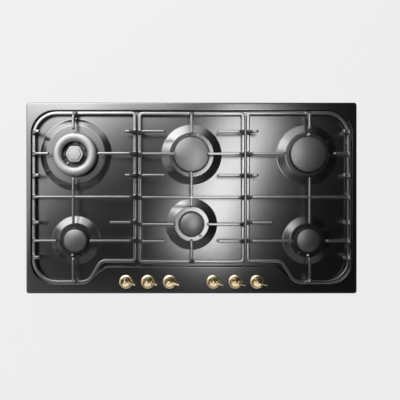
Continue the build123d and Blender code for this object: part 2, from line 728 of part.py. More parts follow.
def injector(place):
    """Brass injector screwed into a cup's floor, with its jet bore."""
    low = TUBE_Z + TUBE_R
    body = disc(INJECTOR_R, low, POT_INSIDE)
    hexagon = RegularPolygon(INJECTOR_HEX_ACROSS / 2, 6, major_radius=False)
    body += Pos(0, 0, POT_INSIDE) * extrude(hexagon, amount=INJECTOR_HEX)
    tip_low = POT_INSIDE + INJECTOR_HEX
    body += disc(INJECTOR_TIP_R, tip_low, tip_low + INJECTOR_TIP)
    body -= disc(INJECTOR_BORE_R, low - 1, tip_low)
    body -= disc(JET_R, tip_low - 1, tip_low + INJECTOR_TIP + 1)
    return shifted(body, place)


def injectors():
    """One injector for each round burner and two for the wok burner."""
    places = [burner.at for burner in BURNERS]
    places += [WOK_AT, (WOK_AT[0], WOK_AT[1] + WOK_MIXER_OFFSET)]
    return group([injector(place) for place in places])


def port_slots(count, inner_r, outer_r, top):
    """Radial flame slots, open at the top of a crown's wall."""
    length = outer_r - inner_r
    slot = Pos((inner_r + outer_r) / 2, 0, top) * Box(length, PORT_WIDTH, 2 * PORT_DEPTH)
    return [Rot(0, 0, 360.0 * k / count) * slot for k in range(round(count))]


def crown_dish(outer_r, mixer_outer_r):
    """Round dish with a mixing tube, open at the top."""
    top_r = outer_r - CROWN_FLARE
    wall_in = top_r - CROWN_WALL
    floor = SEAT_Z + CROWN_FLOOR
    bore = mixer_outer_r - MIXER_WALL
    return turned([(bore, MIXER_BOTTOM), (mixer_outer_r, MIXER_BOTTOM), (mixer_outer_r, SEAT_Z),
                   (outer_r, SEAT_Z), (outer_r, SEAT_Z + 2.0), (top_r, CROWN_TOP), (wall_in, CROWN_TOP),
                   (wall_in, floor), (bore, floor)])


def burner_crown(burner):
    """Flame spreader: dish, mixing tube and flame slots."""
    crown = crown_dish(burner.crown_r, mixer_r(burner))
    inner = burner.crown_r - CROWN_FLARE - CROWN_WALL - 1.0
    crown -= port_slots(burner.ports, inner, burner.crown_r + 1.0, CROWN_TOP)
    return shifted(crown, burner.at)


def burner_cap(burner):
    """Enamelled lid with a gently domed top and a locating ring below."""
    edge_top = CROWN_TOP + CAP_THICK
    spigot_out = burner.crown_r - CROWN_FLARE - CROWN_WALL - SLIP
    cap = domed([(burner.cap_r, CROWN_TOP), (burner.cap_r, edge_top)], edge_top + CAP_DOME)
    cap += ring(spigot_out, spigot_out - CAP_SPIGOT_WALL, CROWN_TOP - CAP_SPIGOT, CROWN_TOP + CAP_THICK / 2)
    return shifted(cap, burner.at)


def wok_burner_base():
    """Casting for two flame rings: flange, raised deck, two cups and two gas inlets."""
    base = disc(WOK_FLANGE_R, PLATEAU_UNDER - POT_FLANGE, PLATEAU_UNDER)
    base += disc(WOK_DECK_R, PLATEAU_UNDER - POT_FLANGE, SEAT_Z)
    inner_cup_r = WOK_CUP_R
    outer_at = (0.0, WOK_MIXER_OFFSET)
    base += disc(inner_cup_r, POT_BOTTOM, PLATEAU_UNDER)
    base += disc(WOK_RING_CUP_R, POT_BOTTOM, PLATEAU_UNDER, outer_at)
    rib = (WOK_MIXER_OFFSET, 0.0)
    base += block((-3.0, 3.0), rib, (POT_BOTTOM, PLATEAU_UNDER))
    for cup_r, at in ((inner_cup_r, (0.0, 0.0)), (WOK_RING_CUP_R, outer_at)):
        base += rod_along_x(NIPPLE_R, (0.0, cup_r + 6.0), at[1], TUBE_Z)
    for cup_r, at in ((inner_cup_r, (0.0, 0.0)), (WOK_RING_CUP_R, outer_at)):
        base -= disc(cup_r - POT_WALL, POT_INSIDE, SEAT_Z + 1, at)
        base -= rod_along_x(TUBE_R, (cup_r - 2.0, cup_r + 7.0), at[1], TUBE_Z)
        base -= rod_along_x(TUBE_R - TUBE_WALL, (0.0, cup_r), at[1], TUBE_Z)
        base -= disc(INJECTOR_R, TUBE_Z, POT_INSIDE + 1, at)
    for pin, radius in ((WOK_SPARK, CERAMIC_R), (WOK_SENSOR, SENSOR_R)):
        base -= disc(radius, PLATEAU_UNDER - 2 * POT_FLANGE, SEAT_Z + 1, pin)
    return shifted(base, WOK_AT)


def wok_outer_crown():
    """Ring channel with slots on both walls, a mixing tube and three bridges to the centre."""
    floor = SEAT_Z + CROWN_FLOOR
    outer_wall = (WOK_CHANNEL_R - CROWN_WALL, WOK_CHANNEL_R)
    inner_wall = (WOK_CHANNEL_BORE_R, WOK_CHANNEL_BORE_R + CROWN_WALL)
    crown = ring(outer_wall[1], inner_wall[0], SEAT_Z, CROWN_TOP)
    crown -= ring(outer_wall[0], inner_wall[1], floor, CROWN_TOP + 1)
    at = (0.0, WOK_MIXER_OFFSET)
    crown += disc(WOK_MIXER_R, MIXER_BOTTOM, SEAT_Z + CROWN_FLOOR / 2, at)
    crown -= disc(WOK_MIXER_R - MIXER_WALL, MIXER_BOTTOM - 1, floor + 0.5, at)
    bridge_start = WOK_HUB_ACROSS / 2 / math.cos(math.radians(30.0)) + SLIP
    for angle in BRIDGE_ANGLES:
        bridge = block((bridge_start, WOK_CHANNEL_BORE_R + 1.0), (-BRIDGE_WIDTH / 2, BRIDGE_WIDTH / 2),
                       (SEAT_Z + SLIP, CROWN_TOP - PORT_DEPTH))
        crown += Rot(0, 0, angle) * bridge
    crown -= port_slots(WOK_RING_PORTS, outer_wall[0] - 1.0, outer_wall[1] + 1.0, CROWN_TOP)
    crown -= port_slots(WOK_BORE_PORTS, inner_wall[0] - 1.0, inner_wall[1] + 1.0, CROWN_TOP)
    return shifted(crown, WOK_AT)


def wok_outer_cap():
    """Thick rounded ring that lies on the ring channel."""
    middle = (WOK_RING_R + WOK_RING_BORE_R) / 2
    top = CROWN_TOP + WOK_RING_HEIGHT
    shoulder = CROWN_TOP + 0.45 * WOK_RING_HEIGHT
    sides = Polyline((WOK_RING_BORE_R, 0, shoulder), (WOK_RING_BORE_R, 0, CROWN_TOP),
                     (WOK_RING_R, 0, CROWN_TOP), (WOK_RING_R, 0, shoulder))
    round_top = ThreePointArc((WOK_RING_R, 0, shoulder), (middle, 0, top), (WOK_RING_BORE_R, 0, shoulder))
    cap = revolve(make_face(sides + round_top), Axis.Z)
    outer_spigot = WOK_CHANNEL_R - CROWN_WALL - SLIP
    inner_spigot = WOK_CHANNEL_BORE_R + CROWN_WALL + SLIP
    spigot_z = (CROWN_TOP - CAP_SPIGOT, CROWN_TOP + CAP_SPIGOT)
    cap += ring(outer_spigot, outer_spigot - CAP_SPIGOT_WALL, *spigot_z)
    cap += ring(inner_spigot + CAP_SPIGOT_WALL, inner_spigot, *spigot_z)
    return shifted(cap, WOK_AT)


def wok_inner_crown():
    """Small centre spreader of the wok burner."""
    crown = crown_dish(WOK_INNER_R, WOK_CUP_R - POT_WALL - MIXER_GAP)
    inner = WOK_INNER_R - CROWN_FLARE - CROWN_WALL - 1.0
    crown -= port_slots(WOK_INNER_PORTS, inner, WOK_INNER_R + 1.0, CROWN_TOP)
    return shifted(crown, WOK_AT)


def wok_inner_cap():
    """Six-sided lid with well rounded corners and a low hexagonal table raised on it."""
    low = CROWN_TOP
    outline = fillet(RegularPolygon(WOK_HUB_ACROSS / 2, 6, major_radius=False).vertices(), WOK_HUB_CORNER_R)
    table_z = low + WOK_HUB_THICK
    table = []
    for across, z in zip(WOK_TABLE_ACROSS, (table_z, table_z + WOK_TABLE_RISE)):
        hexagon = RegularPolygon(across / 2, 6, major_radius=False)
        table.append(Pos(0, 0, z) * fillet(hexagon.vertices(), WOK_TABLE_CORNER_R))
    cap = Pos(0, 0, low) * extrude(outline, amount=WOK_HUB_THICK)
    cap += loft(table)
    spigot_out = WOK_INNER_R - CROWN_FLARE - CROWN_WALL - SLIP
    cap += ring(spigot_out, spigot_out - CAP_SPIGOT_WALL, low - CAP_SPIGOT, low + CAP_THICK / 2)
    return shifted(cap, WOK_AT)


# ---------------------------------------------------------------- ignition and sensing

def pin_places():
    """Plan places of every electrode and every sensor."""
    sparks = [(burner.at[0] + burner.spark[0], burner.at[1] + burner.spark[1]) for burner in BURNERS]
    sensors = [(burner.at[0] + burner.sensor[0], burner.at[1] + burner.sensor[1]) for burner in BURNERS]
    sparks.append((WOK_AT[0] + WOK_SPARK[0], WOK_AT[1] + WOK_SPARK[1]))
    sensors.append((WOK_AT[0] + WOK_SENSOR[0], WOK_AT[1] + WOK_SENSOR[1]))
    return sparks, sensors


def electrodes():
    """White ceramic ignition electrodes with a metal spark tip."""
    pieces = []
    for place in pin_places()[0]:
        body = disc(CERAMIC_R, CERAMIC_BOTTOM, CERAMIC_TOP, place)
        body += disc(SPARK_TIP_R, CERAMIC_TOP - 1.0, CERAMIC_TOP + SPARK_TIP, place)
        pieces.append(body)
    return group(pieces)


def thermocouples():
    """Flame sensors: a thin pin with a nut under the cup's flange."""
    under = PLATEAU_UNDER - POT_FLANGE
    pieces = []
    for place in pin_places()[1]:
        body = disc(SENSOR_R, under - 14.0, SENSOR_TOP, place)
        body += disc(SENSOR_NUT_R, under - 5.0, under, place)
        pieces.append(body)
    return group(pieces)


MODULE_X = (-195.0, -125.0)
MODULE_Y = (REAR_ROW_Y + 42.0, REAR_ROW_Y + 90.0)
LEAD_CROSSING = (SIDE_BURNER_X - 110.0, REAR_ROW_Y - 78.0)


def ignition_module():
    """Spark generator on the box floor."""
    module = block(MODULE_X, MODULE_Y, (BOX_FLOOR, LEAD_Z + 5.0))
    return fillet(module.edges().filter_by(Axis.Z), 3.0)


def lead_routes():
    """Centre lines of the ignition leads, from the module to each electrode's side."""
    sparks = pin_places()[0]
    rear_centre, rear_right, front_left, front_centre, front_right, wok = sparks
    left, right = MODULE_X
    front = MODULE_Y[0]
    gap = CERAMIC_R
    wok_turn_x = wok[0] - 30.0
    wok_lead_y = MODULE_Y[1] - 18.0
    across_x, across_y = LEAD_CROSSING
    return [
        [(right, rear_centre[1]), (rear_centre[0] - gap, rear_centre[1])],
        [(right, MODULE_Y[1] - 8.0), (rear_right[0], MODULE_Y[1] - 8.0), (rear_right[0], rear_right[1] + gap)],
        [(left + 10.0, front), (left + 10.0, front_left[1]), (front_left[0] + gap, front_left[1])],
        [(left + 25.0, front), (left + 25.0, front_centre[1]), (front_centre[0] - gap, front_centre[1])],
        [(left + 40.0, front), (left + 40.0, across_y), (across_x, across_y), (across_x, front_right[1]),
         (front_right[0] - gap, front_right[1])],
        [(left, wok_lead_y), (wok_turn_x, wok_lead_y), (wok_turn_x, wok[1]), (wok[0] - gap, wok[1])],
    ]


def ignition_leads():
    """Insulated leads clipped under the top, each along straight runs and arcs."""
    leads = []
    for route in lead_routes():
        points = [(x, y, LEAD_Z) for x, y in route]
        leads.append(bent_tube(points, [LEAD_BEND_R] * (len(points) - 2), LEAD_R))
    return group(leads)


# ---------------------------------------------------------------- taps and knobs

def tap_body(x):
    """Tap casting: tapered bore, bonnet with the stem bore, inlet block and outlet nipple."""
    body = disc(TAP_R, TAP_BOTTOM, TAP_TOP, (x, KNOB_Y))
    body += block((x - 15.0, x + 15.0), (KNOB_Y - 12.0, KNOB_Y + 12.0), (TAP_TOP - TAP_BONNET, TAP_TOP))
    body += block((x - 9.0, x + 9.0), (KNOB_Y, RAIL_Y), (RAIL_Z - 6.0, RAIL_Z + 6.0))
    for nipple_x in tap_outlets(x):
        body += rod_along_y(NIPPLE_R, nipple_x, (KNOB_Y, NIPPLE_END_Y), TUBE_Z)
    body -= rod_along_x(RAIL_R, (x - 20.0, x + 20.0), RAIL_Y, RAIL_Z)
    bore = Cone(PLUG_BOTTOM_R, PLUG_TOP_R, PLUG_TOP - PLUG_BOTTOM)
    body -= Pos(x, KNOB_Y, (PLUG_TOP + PLUG_BOTTOM) / 2) * bore
    body -= disc(PLUG_TOP_R + 0.5, PLUG_TOP, TAP_TOP - TAP_BONNET, (x, KNOB_Y))
    body -= disc(STEM_R + STEM_CLEARANCE, PLUG_TOP, TAP_TOP + 1, (x, KNOB_Y))
    body -= rod_along_y(2.5, x, (KNOB_Y, RAIL_Y), PLUG_BOTTOM + 3.5)
    for nipple_x in tap_outlets(x):
        body -= rod_along_y(TUBE_R - TUBE_WALL, nipple_x, (KNOB_Y + PLUG_TOP_R, NIPPLE_END_Y + 1), TUBE_Z)
        body -= rod_along_y(TUBE_R, nipple_x, (NIPPLE_END_Y - 6.0, NIPPLE_END_Y + 1), TUBE_Z)
    return body


def tap_outlets(x):
    """The x of a tap's outlet nipples: two on the wok burner's tap, otherwise one."""
    if x == KNOB_X[WOK_TAP]:
        return [x - WOK_TUBE_SPACING / 2, x + WOK_TUBE_SPACING / 2]
    return [x]


WOK_TAP = 1


def tap_bodies():
    """Six tap castings on the gas rail."""
    return group([tap_body(x) for x in KNOB_X])


def tap_plug(x):
    """Tapered plug that turns in the tap, slotted on top for the stem and drilled for gas."""
    gap = PLUG_CLEARANCE
    plug = Cone(PLUG_BOTTOM_R - gap, PLUG_TOP_R - gap, PLUG_TOP - PLUG_BOTTOM - 2 * gap)
    plug = Pos(x, KNOB_Y, (PLUG_TOP + PLUG_BOTTOM) / 2) * plug
    slot_half = TONGUE_WIDTH / 2 + TONGUE_CLEARANCE
    slot_low = PLUG_TOP - TONGUE_DEPTH - KNOB_PUSH - 1.0
    plug -= block((x - slot_half, x + slot_half), (KNOB_Y - 9.0, KNOB_Y + 9.0), (slot_low, PLUG_TOP + 1))
    plug -= disc(2.0, PLUG_BOTTOM - 1, TUBE_Z - 4.0 + 2.0, (x, KNOB_Y))
    return plug


def knob_stem(x):
    """Steel stem: grip end in the knob, a tongue below in the plug's slot."""
    knob_low = RIM_TOP + KNOB_LIFT
    stem_low = PLUG_TOP + KNOB_PUSH + SLIP
    stem = disc(STEM_R, stem_low, knob_low + STEM_GRIP, (x, KNOB_Y))
    half = TONGUE_WIDTH / 2
    tongue_z = (PLUG_TOP - TONGUE_DEPTH, stem_low + 1.0)
    tongue = block((x - half, x + half), (KNOB_Y - STEM_R, KNOB_Y + STEM_R), tongue_z)
    return stem + (tongue & disc(STEM_R, *tongue_z, (x, KNOB_Y)))


def knob(x):
    """Polished brass knob: a waisted body under a steep cone, with one pointer lever."""
    low = RIM_TOP + KNOB_LIFT
    side = [(KNOB_R, low), (KNOB_R, low + 0.1 * KNOB_HEIGHT), (KNOB_WAIST * KNOB_R, low + 0.25 * KNOB_HEIGHT)]
    body = coned(side, KNOB_SHOULDER * KNOB_R, low + KNOB_HEIGHT)
    lever_z = (low + 3.0, low + 3.0 + 0.45 * KNOB_HEIGHT)
    lever = block((0.0, POINTER_REACH - POINTER_WIDTH / 2), (-POINTER_WIDTH / 2, POINTER_WIDTH / 2), lever_z)
    lever += disc(POINTER_WIDTH / 2, lever_z[0], lever_z[1], (POINTER_REACH - POINTER_WIDTH / 2, 0.0))
    body += Rot(0, 0, POINTER_ANGLE) * lever
    body -= disc(STEM_R, low - 1, low + STEM_GRIP)
    return shifted(body, (x, KNOB_Y))


def knob_bezels():
    """Rings on the panel around the knobs."""
    bezels = []
    for x in KNOB_X:
        edge = RIM_TOP + BEZEL_EDGE
        sides = Polyline((BEZEL_BORE_R, 0, edge), (BEZEL_BORE_R, 0, RIM_TOP), (BEZEL_R, 0, RIM_TOP),
                         (BEZEL_R, 0, edge))
        crest = ThreePointArc((BEZEL_R, 0, edge), ((BEZEL_R + BEZEL_BORE_R) / 2, 0, RIM_TOP + BEZEL_HEIGHT),
                              (BEZEL_BORE_R, 0, edge))
        bezels.append(shifted(revolve(make_face(sides + crest), Axis.Z), (x, KNOB_Y)))
    return group(bezels)


def ignition_switches():
    """Small switches on the taps that start the spark when a knob is pushed in."""
    switches = []
    for x in KNOB_X:
        switches.append(block((x + 6.5, x + 15.0), (KNOB_Y - 10.0, KNOB_Y + 10.0), (TAP_TOP, TAP_TOP + 7.0)))
    return group(switches)


# ---------------------------------------------------------------- gas supply

def gas_rail():
    """Steel manifold along the taps that turns to the rear and ends at the inlet elbow."""
    start_x = KNOB_X[0] - 25.0
    points = [(start_x, RAIL_Y, RAIL_Z), (FEED_X, RAIL_Y, RAIL_Z), (FEED_X, BOX_REAR_Y - 40.0, RAIL_Z)]
    rail = bent_tube(points, [FEED_BEND_R], RAIL_R, RAIL_R - RAIL_WALL)
    plug = rod_along_x(RAIL_R, (start_x - 2.0, start_x), RAIL_Y, RAIL_Z)
    rail += plug
    for x in KNOB_X:
        rail -= rod_along_y(2.5, x, (RAIL_Y - RAIL_R - 1.0, RAIL_Y), PLUG_BOTTOM + 3.5)
    return rail


def gas_inlet():
    """Threaded inlet through the rear wall, with a nut inside the box."""
    start = BOX_REAR_Y - 40.0
    body = rod_along_y(RAIL_R + 3.0, FEED_X, (start - 8.0, BOX_REAR_Y - BOX_SHEET - 5.0), RAIL_Z)
    nut = Pos(FEED_X, BOX_REAR_Y - BOX_SHEET, RAIL_Z) * Rot(90, 0, 0) * extrude(
        RegularPolygon(INLET_NUT_ACROSS / 2, 6, major_radius=False), amount=6.0)
    body += nut
    thread_end = BOX_REAR_Y + INLET_NECK + INLET_THREAD
    body += rod_along_y(INLET_NECK_R, FEED_X, (BOX_REAR_Y - BOX_SHEET - 1.0, thread_end), RAIL_Z)
    body += rod_along_y(INLET_THREAD_R, FEED_X, (BOX_REAR_Y + INLET_NECK, thread_end), RAIL_Z)
    body -= rod_along_y(INLET_BORE_R, FEED_X, (start - 9.0, thread_end + 1.0), RAIL_Z)
    body -= rod_along_y(RAIL_R, FEED_X, (start - 9.0, start), RAIL_Z)
    return body


def tube_routes():
    """Centre lines of the gas tubes, from a tap's nipple to a burner's inlet."""
    start_y = NIPPLE_END_Y - 6.0
    by_name = {burner.name: burner for burner in BURNERS}
    routes = []
    for tap, name in ((0, "front_left"), (2, "front_centre"), (3, "rear_centre"), (4, "rear_right"),
                      (5, "front_right")):
        burner = by_name[name]
        x = KNOB_X[tap]
        side = 1.0 if burner.inlet == 0.0 else -1.0
        end_x = burner.at[0] + side * (burner.pot_r - 2.0)
        routes.append([(x, start_y), (x, burner.at[1]), (end_x, burner.at[1])])
    left_x, right_x = tap_outlets(KNOB_X[WOK_TAP])
    ring_y = WOK_AT[1] + WOK_MIXER_OFFSET
    routes.append([(left_x, start_y), (left_x, ring_y), (WOK_AT[0] + WOK_RING_CUP_R - 2.0, ring_y)])
    routes.append([(right_x, start_y), (right_x, WOK_AT[1]), (WOK_AT[0] + WOK_CUP_R - 2.0, WOK_AT[1])])
    return routes


def gas_tubes():
    """Aluminium tubes between the taps and the burners."""
    tubes = []
    for route in tube_routes():
        points = [(x, y, TUBE_Z) for x, y in route]
        tubes.append(bent_tube(points, [TUBE_BEND_R], TUBE_R, TUBE_R - TUBE_WALL))
    return group(tubes)


def burner_brackets():
    """Pressed hat brackets that carry the burner cups on the box floor."""
    brackets = []
    stands = [(burner.at, burner.pot_r) for burner in BURNERS] + [(WOK_AT, WOK_CUP_R + 6.0)]
    for at, pot_r in stands:
        half = pot_r + 4.0
        sheet = 1.5
        y_range = (at[1] - 12.0, at[1] + 12.0)
        hat = block((at[0] - half, at[0] + half), y_range, (BOX_FLOOR, POT_BOTTOM))
        hat -= block((at[0] - half + sheet, at[0] + half - sheet), y_range, (BOX_FLOOR, POT_BOTTOM - sheet))
        for side in (-1, 1):
            foot = sorted((at[0] + side * (half - sheet), at[0] + side * (half + 10.0)))
            hat += block(foot, y_range, (BOX_FLOOR, BOX_FLOOR + sheet))
        brackets.append(hat)
    return group(brackets)


def mains_gland():
    """Nylon gland in the rear wall where the mains lead comes in."""
    wall = BOX_REAR_Y
    gland = rod_along_y(GLAND_R, GLAND_AT_X, (wall - 8.0, wall + 4.0), GLAND_Z)
    gland += rod_along_y(GLAND_R + 3.0, GLAND_AT_X, (wall, wall + 4.0), GLAND_Z)
    gland += rod_along_y(GLAND_R + 3.0, GLAND_AT_X, (wall - 6.0, wall - BOX_SHEET), GLAND_Z)
    gland += rod_along_y(GLAND_R - 1.0, GLAND_AT_X, (wall + 4.0, wall + 14.0), GLAND_Z)
    gland -= rod_along_y(GLAND_BORE_R, GLAND_AT_X, (wall - 9.0, wall + 15.0), GLAND_Z)
    return gland


def terminal_block():
    """Terminal block on the box floor beside the gland."""
    block_x = (GLAND_AT_X - 22.0, GLAND_AT_X + 22.0)
    body = block(block_x, (BOX_REAR_Y - 42.0, BOX_REAR_Y - 16.0), (BOX_FLOOR, BOX_FLOOR + 20.0))
    for step in (-1, 0, 1):
        body -= disc(3.0, BOX_FLOOR + 12.0, BOX_FLOOR + 21.0, (GLAND_AT_X + 13.0 * step, BOX_REAR_Y - 29.0))
    return body


# ---------------------------------------------------------------- write every node

NODES = {
    "hob_top": hob_top,
    "worktop_gasket": worktop_gasket,
    "burner_box": burner_box,
    "box_screws": box_screws,
    "fixing_clamps": fixing_clamps,
    "clamp_screws": clamp_screws,
    "pan_support_left": pan_support_left,
    "pan_support_centre": pan_support_centre,
    "pan_support_right": pan_support_right,
    "support_feet_left": lambda: support_feet(side_feet()),
    "support_feet_centre": lambda: support_feet(centre_feet()),
    "support_feet_right": lambda: support_feet([(-x, y) for x, y in side_feet()]),
    "burner_cups": burner_cups,
    "injectors": injectors,
    "wok_burner_base": wok_burner_base,
    "wok_outer_crown": wok_outer_crown,
    "wok_outer_cap": wok_outer_cap,
    "wok_inner_crown": wok_inner_crown,
    "wok_inner_cap": wok_inner_cap,
    "electrodes": electrodes,
    "thermocouples": thermocouples,
    "ignition_module": ignition_module,
    "ignition_leads": ignition_leads,
    "tap_bodies": tap_bodies,
    "ignition_switches": ignition_switches,
    "knob_bezels": knob_bezels,
    "gas_rail": gas_rail,
    "gas_inlet": gas_inlet,
    "gas_tubes": gas_tubes,
    "burner_brackets": burner_brackets,
    "mains_gland": mains_gland,
    "terminal_block": terminal_block,
}

for name, make in NODES.items():
    export_step(make(), f"parts/{name}.step")

for burner in BURNERS:
    export_step(burner_crown(burner), f"parts/crown_{burner.name}.step")
    export_step(burner_cap(burner), f"parts/cap_{burner.name}.step")

for number, x in enumerate(KNOB_X, start=1):
    export_step(tap_plug(x), f"parts/tap_plug_{number}.step")
    export_step(knob_stem(x), f"parts/knob_stem_{number}.step")
    export_step(knob(x), f"parts/knob_{number}.step")
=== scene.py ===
import json
import logging
import math
from collections.abc import Sequence
from dataclasses import dataclass
from enum import Enum

import bmesh
import bpy
import numpy as np
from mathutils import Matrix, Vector
from mathutils.geometry import tessellate_polygon

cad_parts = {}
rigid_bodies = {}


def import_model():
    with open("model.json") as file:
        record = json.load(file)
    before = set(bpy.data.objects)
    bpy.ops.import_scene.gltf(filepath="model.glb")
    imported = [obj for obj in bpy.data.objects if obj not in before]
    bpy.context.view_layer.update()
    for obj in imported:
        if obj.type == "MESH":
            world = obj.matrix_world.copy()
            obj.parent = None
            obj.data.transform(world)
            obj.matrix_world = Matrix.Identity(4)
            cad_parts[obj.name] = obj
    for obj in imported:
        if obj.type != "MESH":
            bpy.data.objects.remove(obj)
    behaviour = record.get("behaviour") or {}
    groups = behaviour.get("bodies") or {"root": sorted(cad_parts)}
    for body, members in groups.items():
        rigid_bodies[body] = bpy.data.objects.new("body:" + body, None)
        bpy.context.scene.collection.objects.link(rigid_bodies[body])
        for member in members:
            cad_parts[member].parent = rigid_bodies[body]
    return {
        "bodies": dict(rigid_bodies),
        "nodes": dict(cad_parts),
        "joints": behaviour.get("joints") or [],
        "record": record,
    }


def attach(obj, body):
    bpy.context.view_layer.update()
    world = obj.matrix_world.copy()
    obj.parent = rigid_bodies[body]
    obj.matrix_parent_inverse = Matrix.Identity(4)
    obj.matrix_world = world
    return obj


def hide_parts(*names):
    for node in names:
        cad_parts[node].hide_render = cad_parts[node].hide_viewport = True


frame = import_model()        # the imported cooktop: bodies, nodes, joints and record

# Sizes are in millimetres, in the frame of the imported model: +X right, +Y to the rear, +Z up,
# and zero height at the worktop's top face. Meshes are written in metres.
MM = 0.001
FULL_TURN = 2.0 * math.pi
STRAIGHT = 1e-6          # a turn of heading under this, in radians, needs no arc
SAME_PLACE = 1e-6        # points nearer than this, in metres, are merged
NO_LENGTH = 1e-7         # edges shorter than this, in metres, are dissolved
SMOOTH_DEGREES = 40.0    # steepest edge that is still shaded smooth

log = logging.getLogger("cooktop")
Plan = tuple[float, float]
Colour = tuple[float, float, float]
Array = np.ndarray
Tree, Node, Socket = bpy.types.NodeTree, bpy.types.Node, bpy.types.NodeSocket


# ---- shapes worked out as arrays

def rounded_chain(corners: list[Plan], radii: Sequence[float], closed: bool,
                  step_degrees: float) -> tuple[Array, Array]:
    """Polyline whose corners are replaced by tangent arcs.

    Each corner is a turn of heading. The arc starts radius x tan(half the turn) before the corner, and its
    points are its centre plus or minus the radius times the normal to the right of the heading.

    Args:
        corners: Corner points, in order.
        radii: One radius for each corner; the ends of an open chain ignore theirs.
        closed: Whether the last corner joins the first.
        step_degrees: Largest turn between two points of an arc.

    Returns:
        The points (n, 2) and the unit normals to the right of the direction of travel (n, 2).
    """
    spots = np.asarray(corners, float)
    count = len(spots)
    runs = []
    for index, (corner, radius) in enumerate(zip(spots, radii)):
        before = corner - spots[index - 1]
        after = spots[(index + 1) % count] - corner
        if not closed and index == 0:
            before = after
        if not closed and index == count - 1:
            after = before
        start = math.atan2(before[1], before[0])
        turn = math.atan2(before[0] * after[1] - before[1] * after[0], before @ after)
        sign = 1.0 if turn >= 0.0 else -1.0
        steps = max(1, math.ceil(abs(math.degrees(turn)) / step_degrees))
        heading = start + turn * np.linspace(0.0, 1.0, steps + 1)
        normals = np.stack([np.sin(heading), -np.cos(heading)], axis=1)
        tangent = radius * math.tan(abs(turn) / 2.0)
        entry = corner - tangent * before / np.linalg.norm(before)
        centre = entry - sign * radius * normals[0]
        points = centre + sign * radius * normals
        if abs(turn) < STRAIGHT:
            points, normals = points[:1], normals[:1]
        runs.append(np.concatenate([points, normals], axis=1))
    joined = np.concatenate(runs)
    return joined[:, :2], joined[:, 2:]


def open_profile(corners: list[Plan], radii: Sequence[float], step_degrees: float) -> Array:
    """Points (n, 2) of an open polyline whose corners are rounded."""
    return rounded_chain(corners, radii, closed=False, step_degrees=step_degrees)[0]


def carried(path: Array, normals: Array, profile: Array) -> Array:
    """Profile carried along a level path.

    Point (i, j) is path point i plus its normal times the profile's offset j, at the profile's height j.

    Args:
        path: Plan points (rows, 2).
        normals: Plan unit normals (rows, 2).
        profile: Offset and height pairs (columns, 2).

    Returns:
        Grid of points (rows, columns, 3).
    """
    plan = path[:, None, :] + normals[:, None, :] * profile[None, :, :1]
    height = np.broadcast_to(profile[None, :, 1:], plan.shape[:2] + (1,))
    return np.concatenate([plan, height], axis=2)


def lathed(profile: Array, centre: Plan, segments: int, shape: Array | float = 1.0) -> Array:
    """Profile turned about a vertical axis.

    The radius at an angle is the profile's radius times the shape there.

    Args:
        profile: Radius and height pairs (columns, 2).
        centre: Plan place of the axis.
        segments: Steps round the axis.
        shape: 1 for a round piece, or a factor for each step (segments,).

    Returns:
        Grid of points (segments, columns, 3).
    """
    angle = np.linspace(0.0, FULL_TURN, segments, endpoint=False)
    radius = np.broadcast_to(shape, segments)[:, None] * profile[None, :, 0]
    x = centre[0] + radius * np.cos(angle)[:, None]
    y = centre[1] + radius * np.sin(angle)[:, None]
    z = np.broadcast_to(profile[None, :, 1], radius.shape)
    return np.stack([x, y, z], axis=2)


def swept(start: Array, forward: Array, along: Array, widths: Array | float,
          heights: Array | float, middles: Array | float, section: Array) -> Array:
    """Upright section carried along a straight level line.

    Args:
        start, forward: Plan start and unit direction of the line.
        along: Distance of each station from the start (rows,).
        widths, heights: Scales of the section across and upwards, one for all stations or one for each.
        middles: Heights of the section's middle, likewise.
        section: Offset across and upwards of each point (columns, 2).

    Returns:
        Grid of points (rows, columns, 3).
    """
    across = np.array([-forward[1], forward[0]])
    widths, heights, middles = (np.broadcast_to(values, along.shape) for values in (widths, heights, middles))
    plan = (start + along[:, None] * forward)[:, None, :]
    plan = plan + widths[:, None, None] * section[None, :, :1] * across
    lift = middles[:, None] + heights[:, None] * section[None, :, 1]
    return np.concatenate([plan, lift[:, :, None]], axis=2)


def circle(radius: float, centre: Plan, segments: int = 96) -> Array:
    """Level circle (segments, 2), in step with a lathed piece of as many segments."""
    angle = np.linspace(0.0, FULL_TURN, segments, endpoint=False)
    return np.stack([centre[0] + radius * np.cos(angle), centre[1] + radius * np.sin(angle)], axis=1)


def rounded_section(width: float, height: float, squareness: float, count: int) -> Array:
    """Closed superellipse (count, 2) about zero: |x / half width|^n + |z / half height|^n = 1."""
    unit = circle(1.0, (0.0, 0.0), count)
    return 0.5 * np.array([width, height]) * np.sign(unit) * np.abs(unit) ** (2.0 / squareness)


def on_circle(radius: float, degrees: float, centre: Plan) -> Plan:
    """Plan point on a circle, the angle in degrees from +X."""
    turn = math.radians(degrees)
    return (centre[0] + radius * math.cos(turn), centre[1] + radius * math.sin(turn))


def linked(name: str, data: bpy.types.ID) -> bpy.types.Object:
    """Puts an object into the scene, at the origin and unturned.

    Args:
        name: Name of the object.
        data: Its mesh, light or camera.

    Returns:
        The object.
    """
    made = bpy.data.objects.new(name, data)
    bpy.context.scene.collection.objects.link(made)
    return made


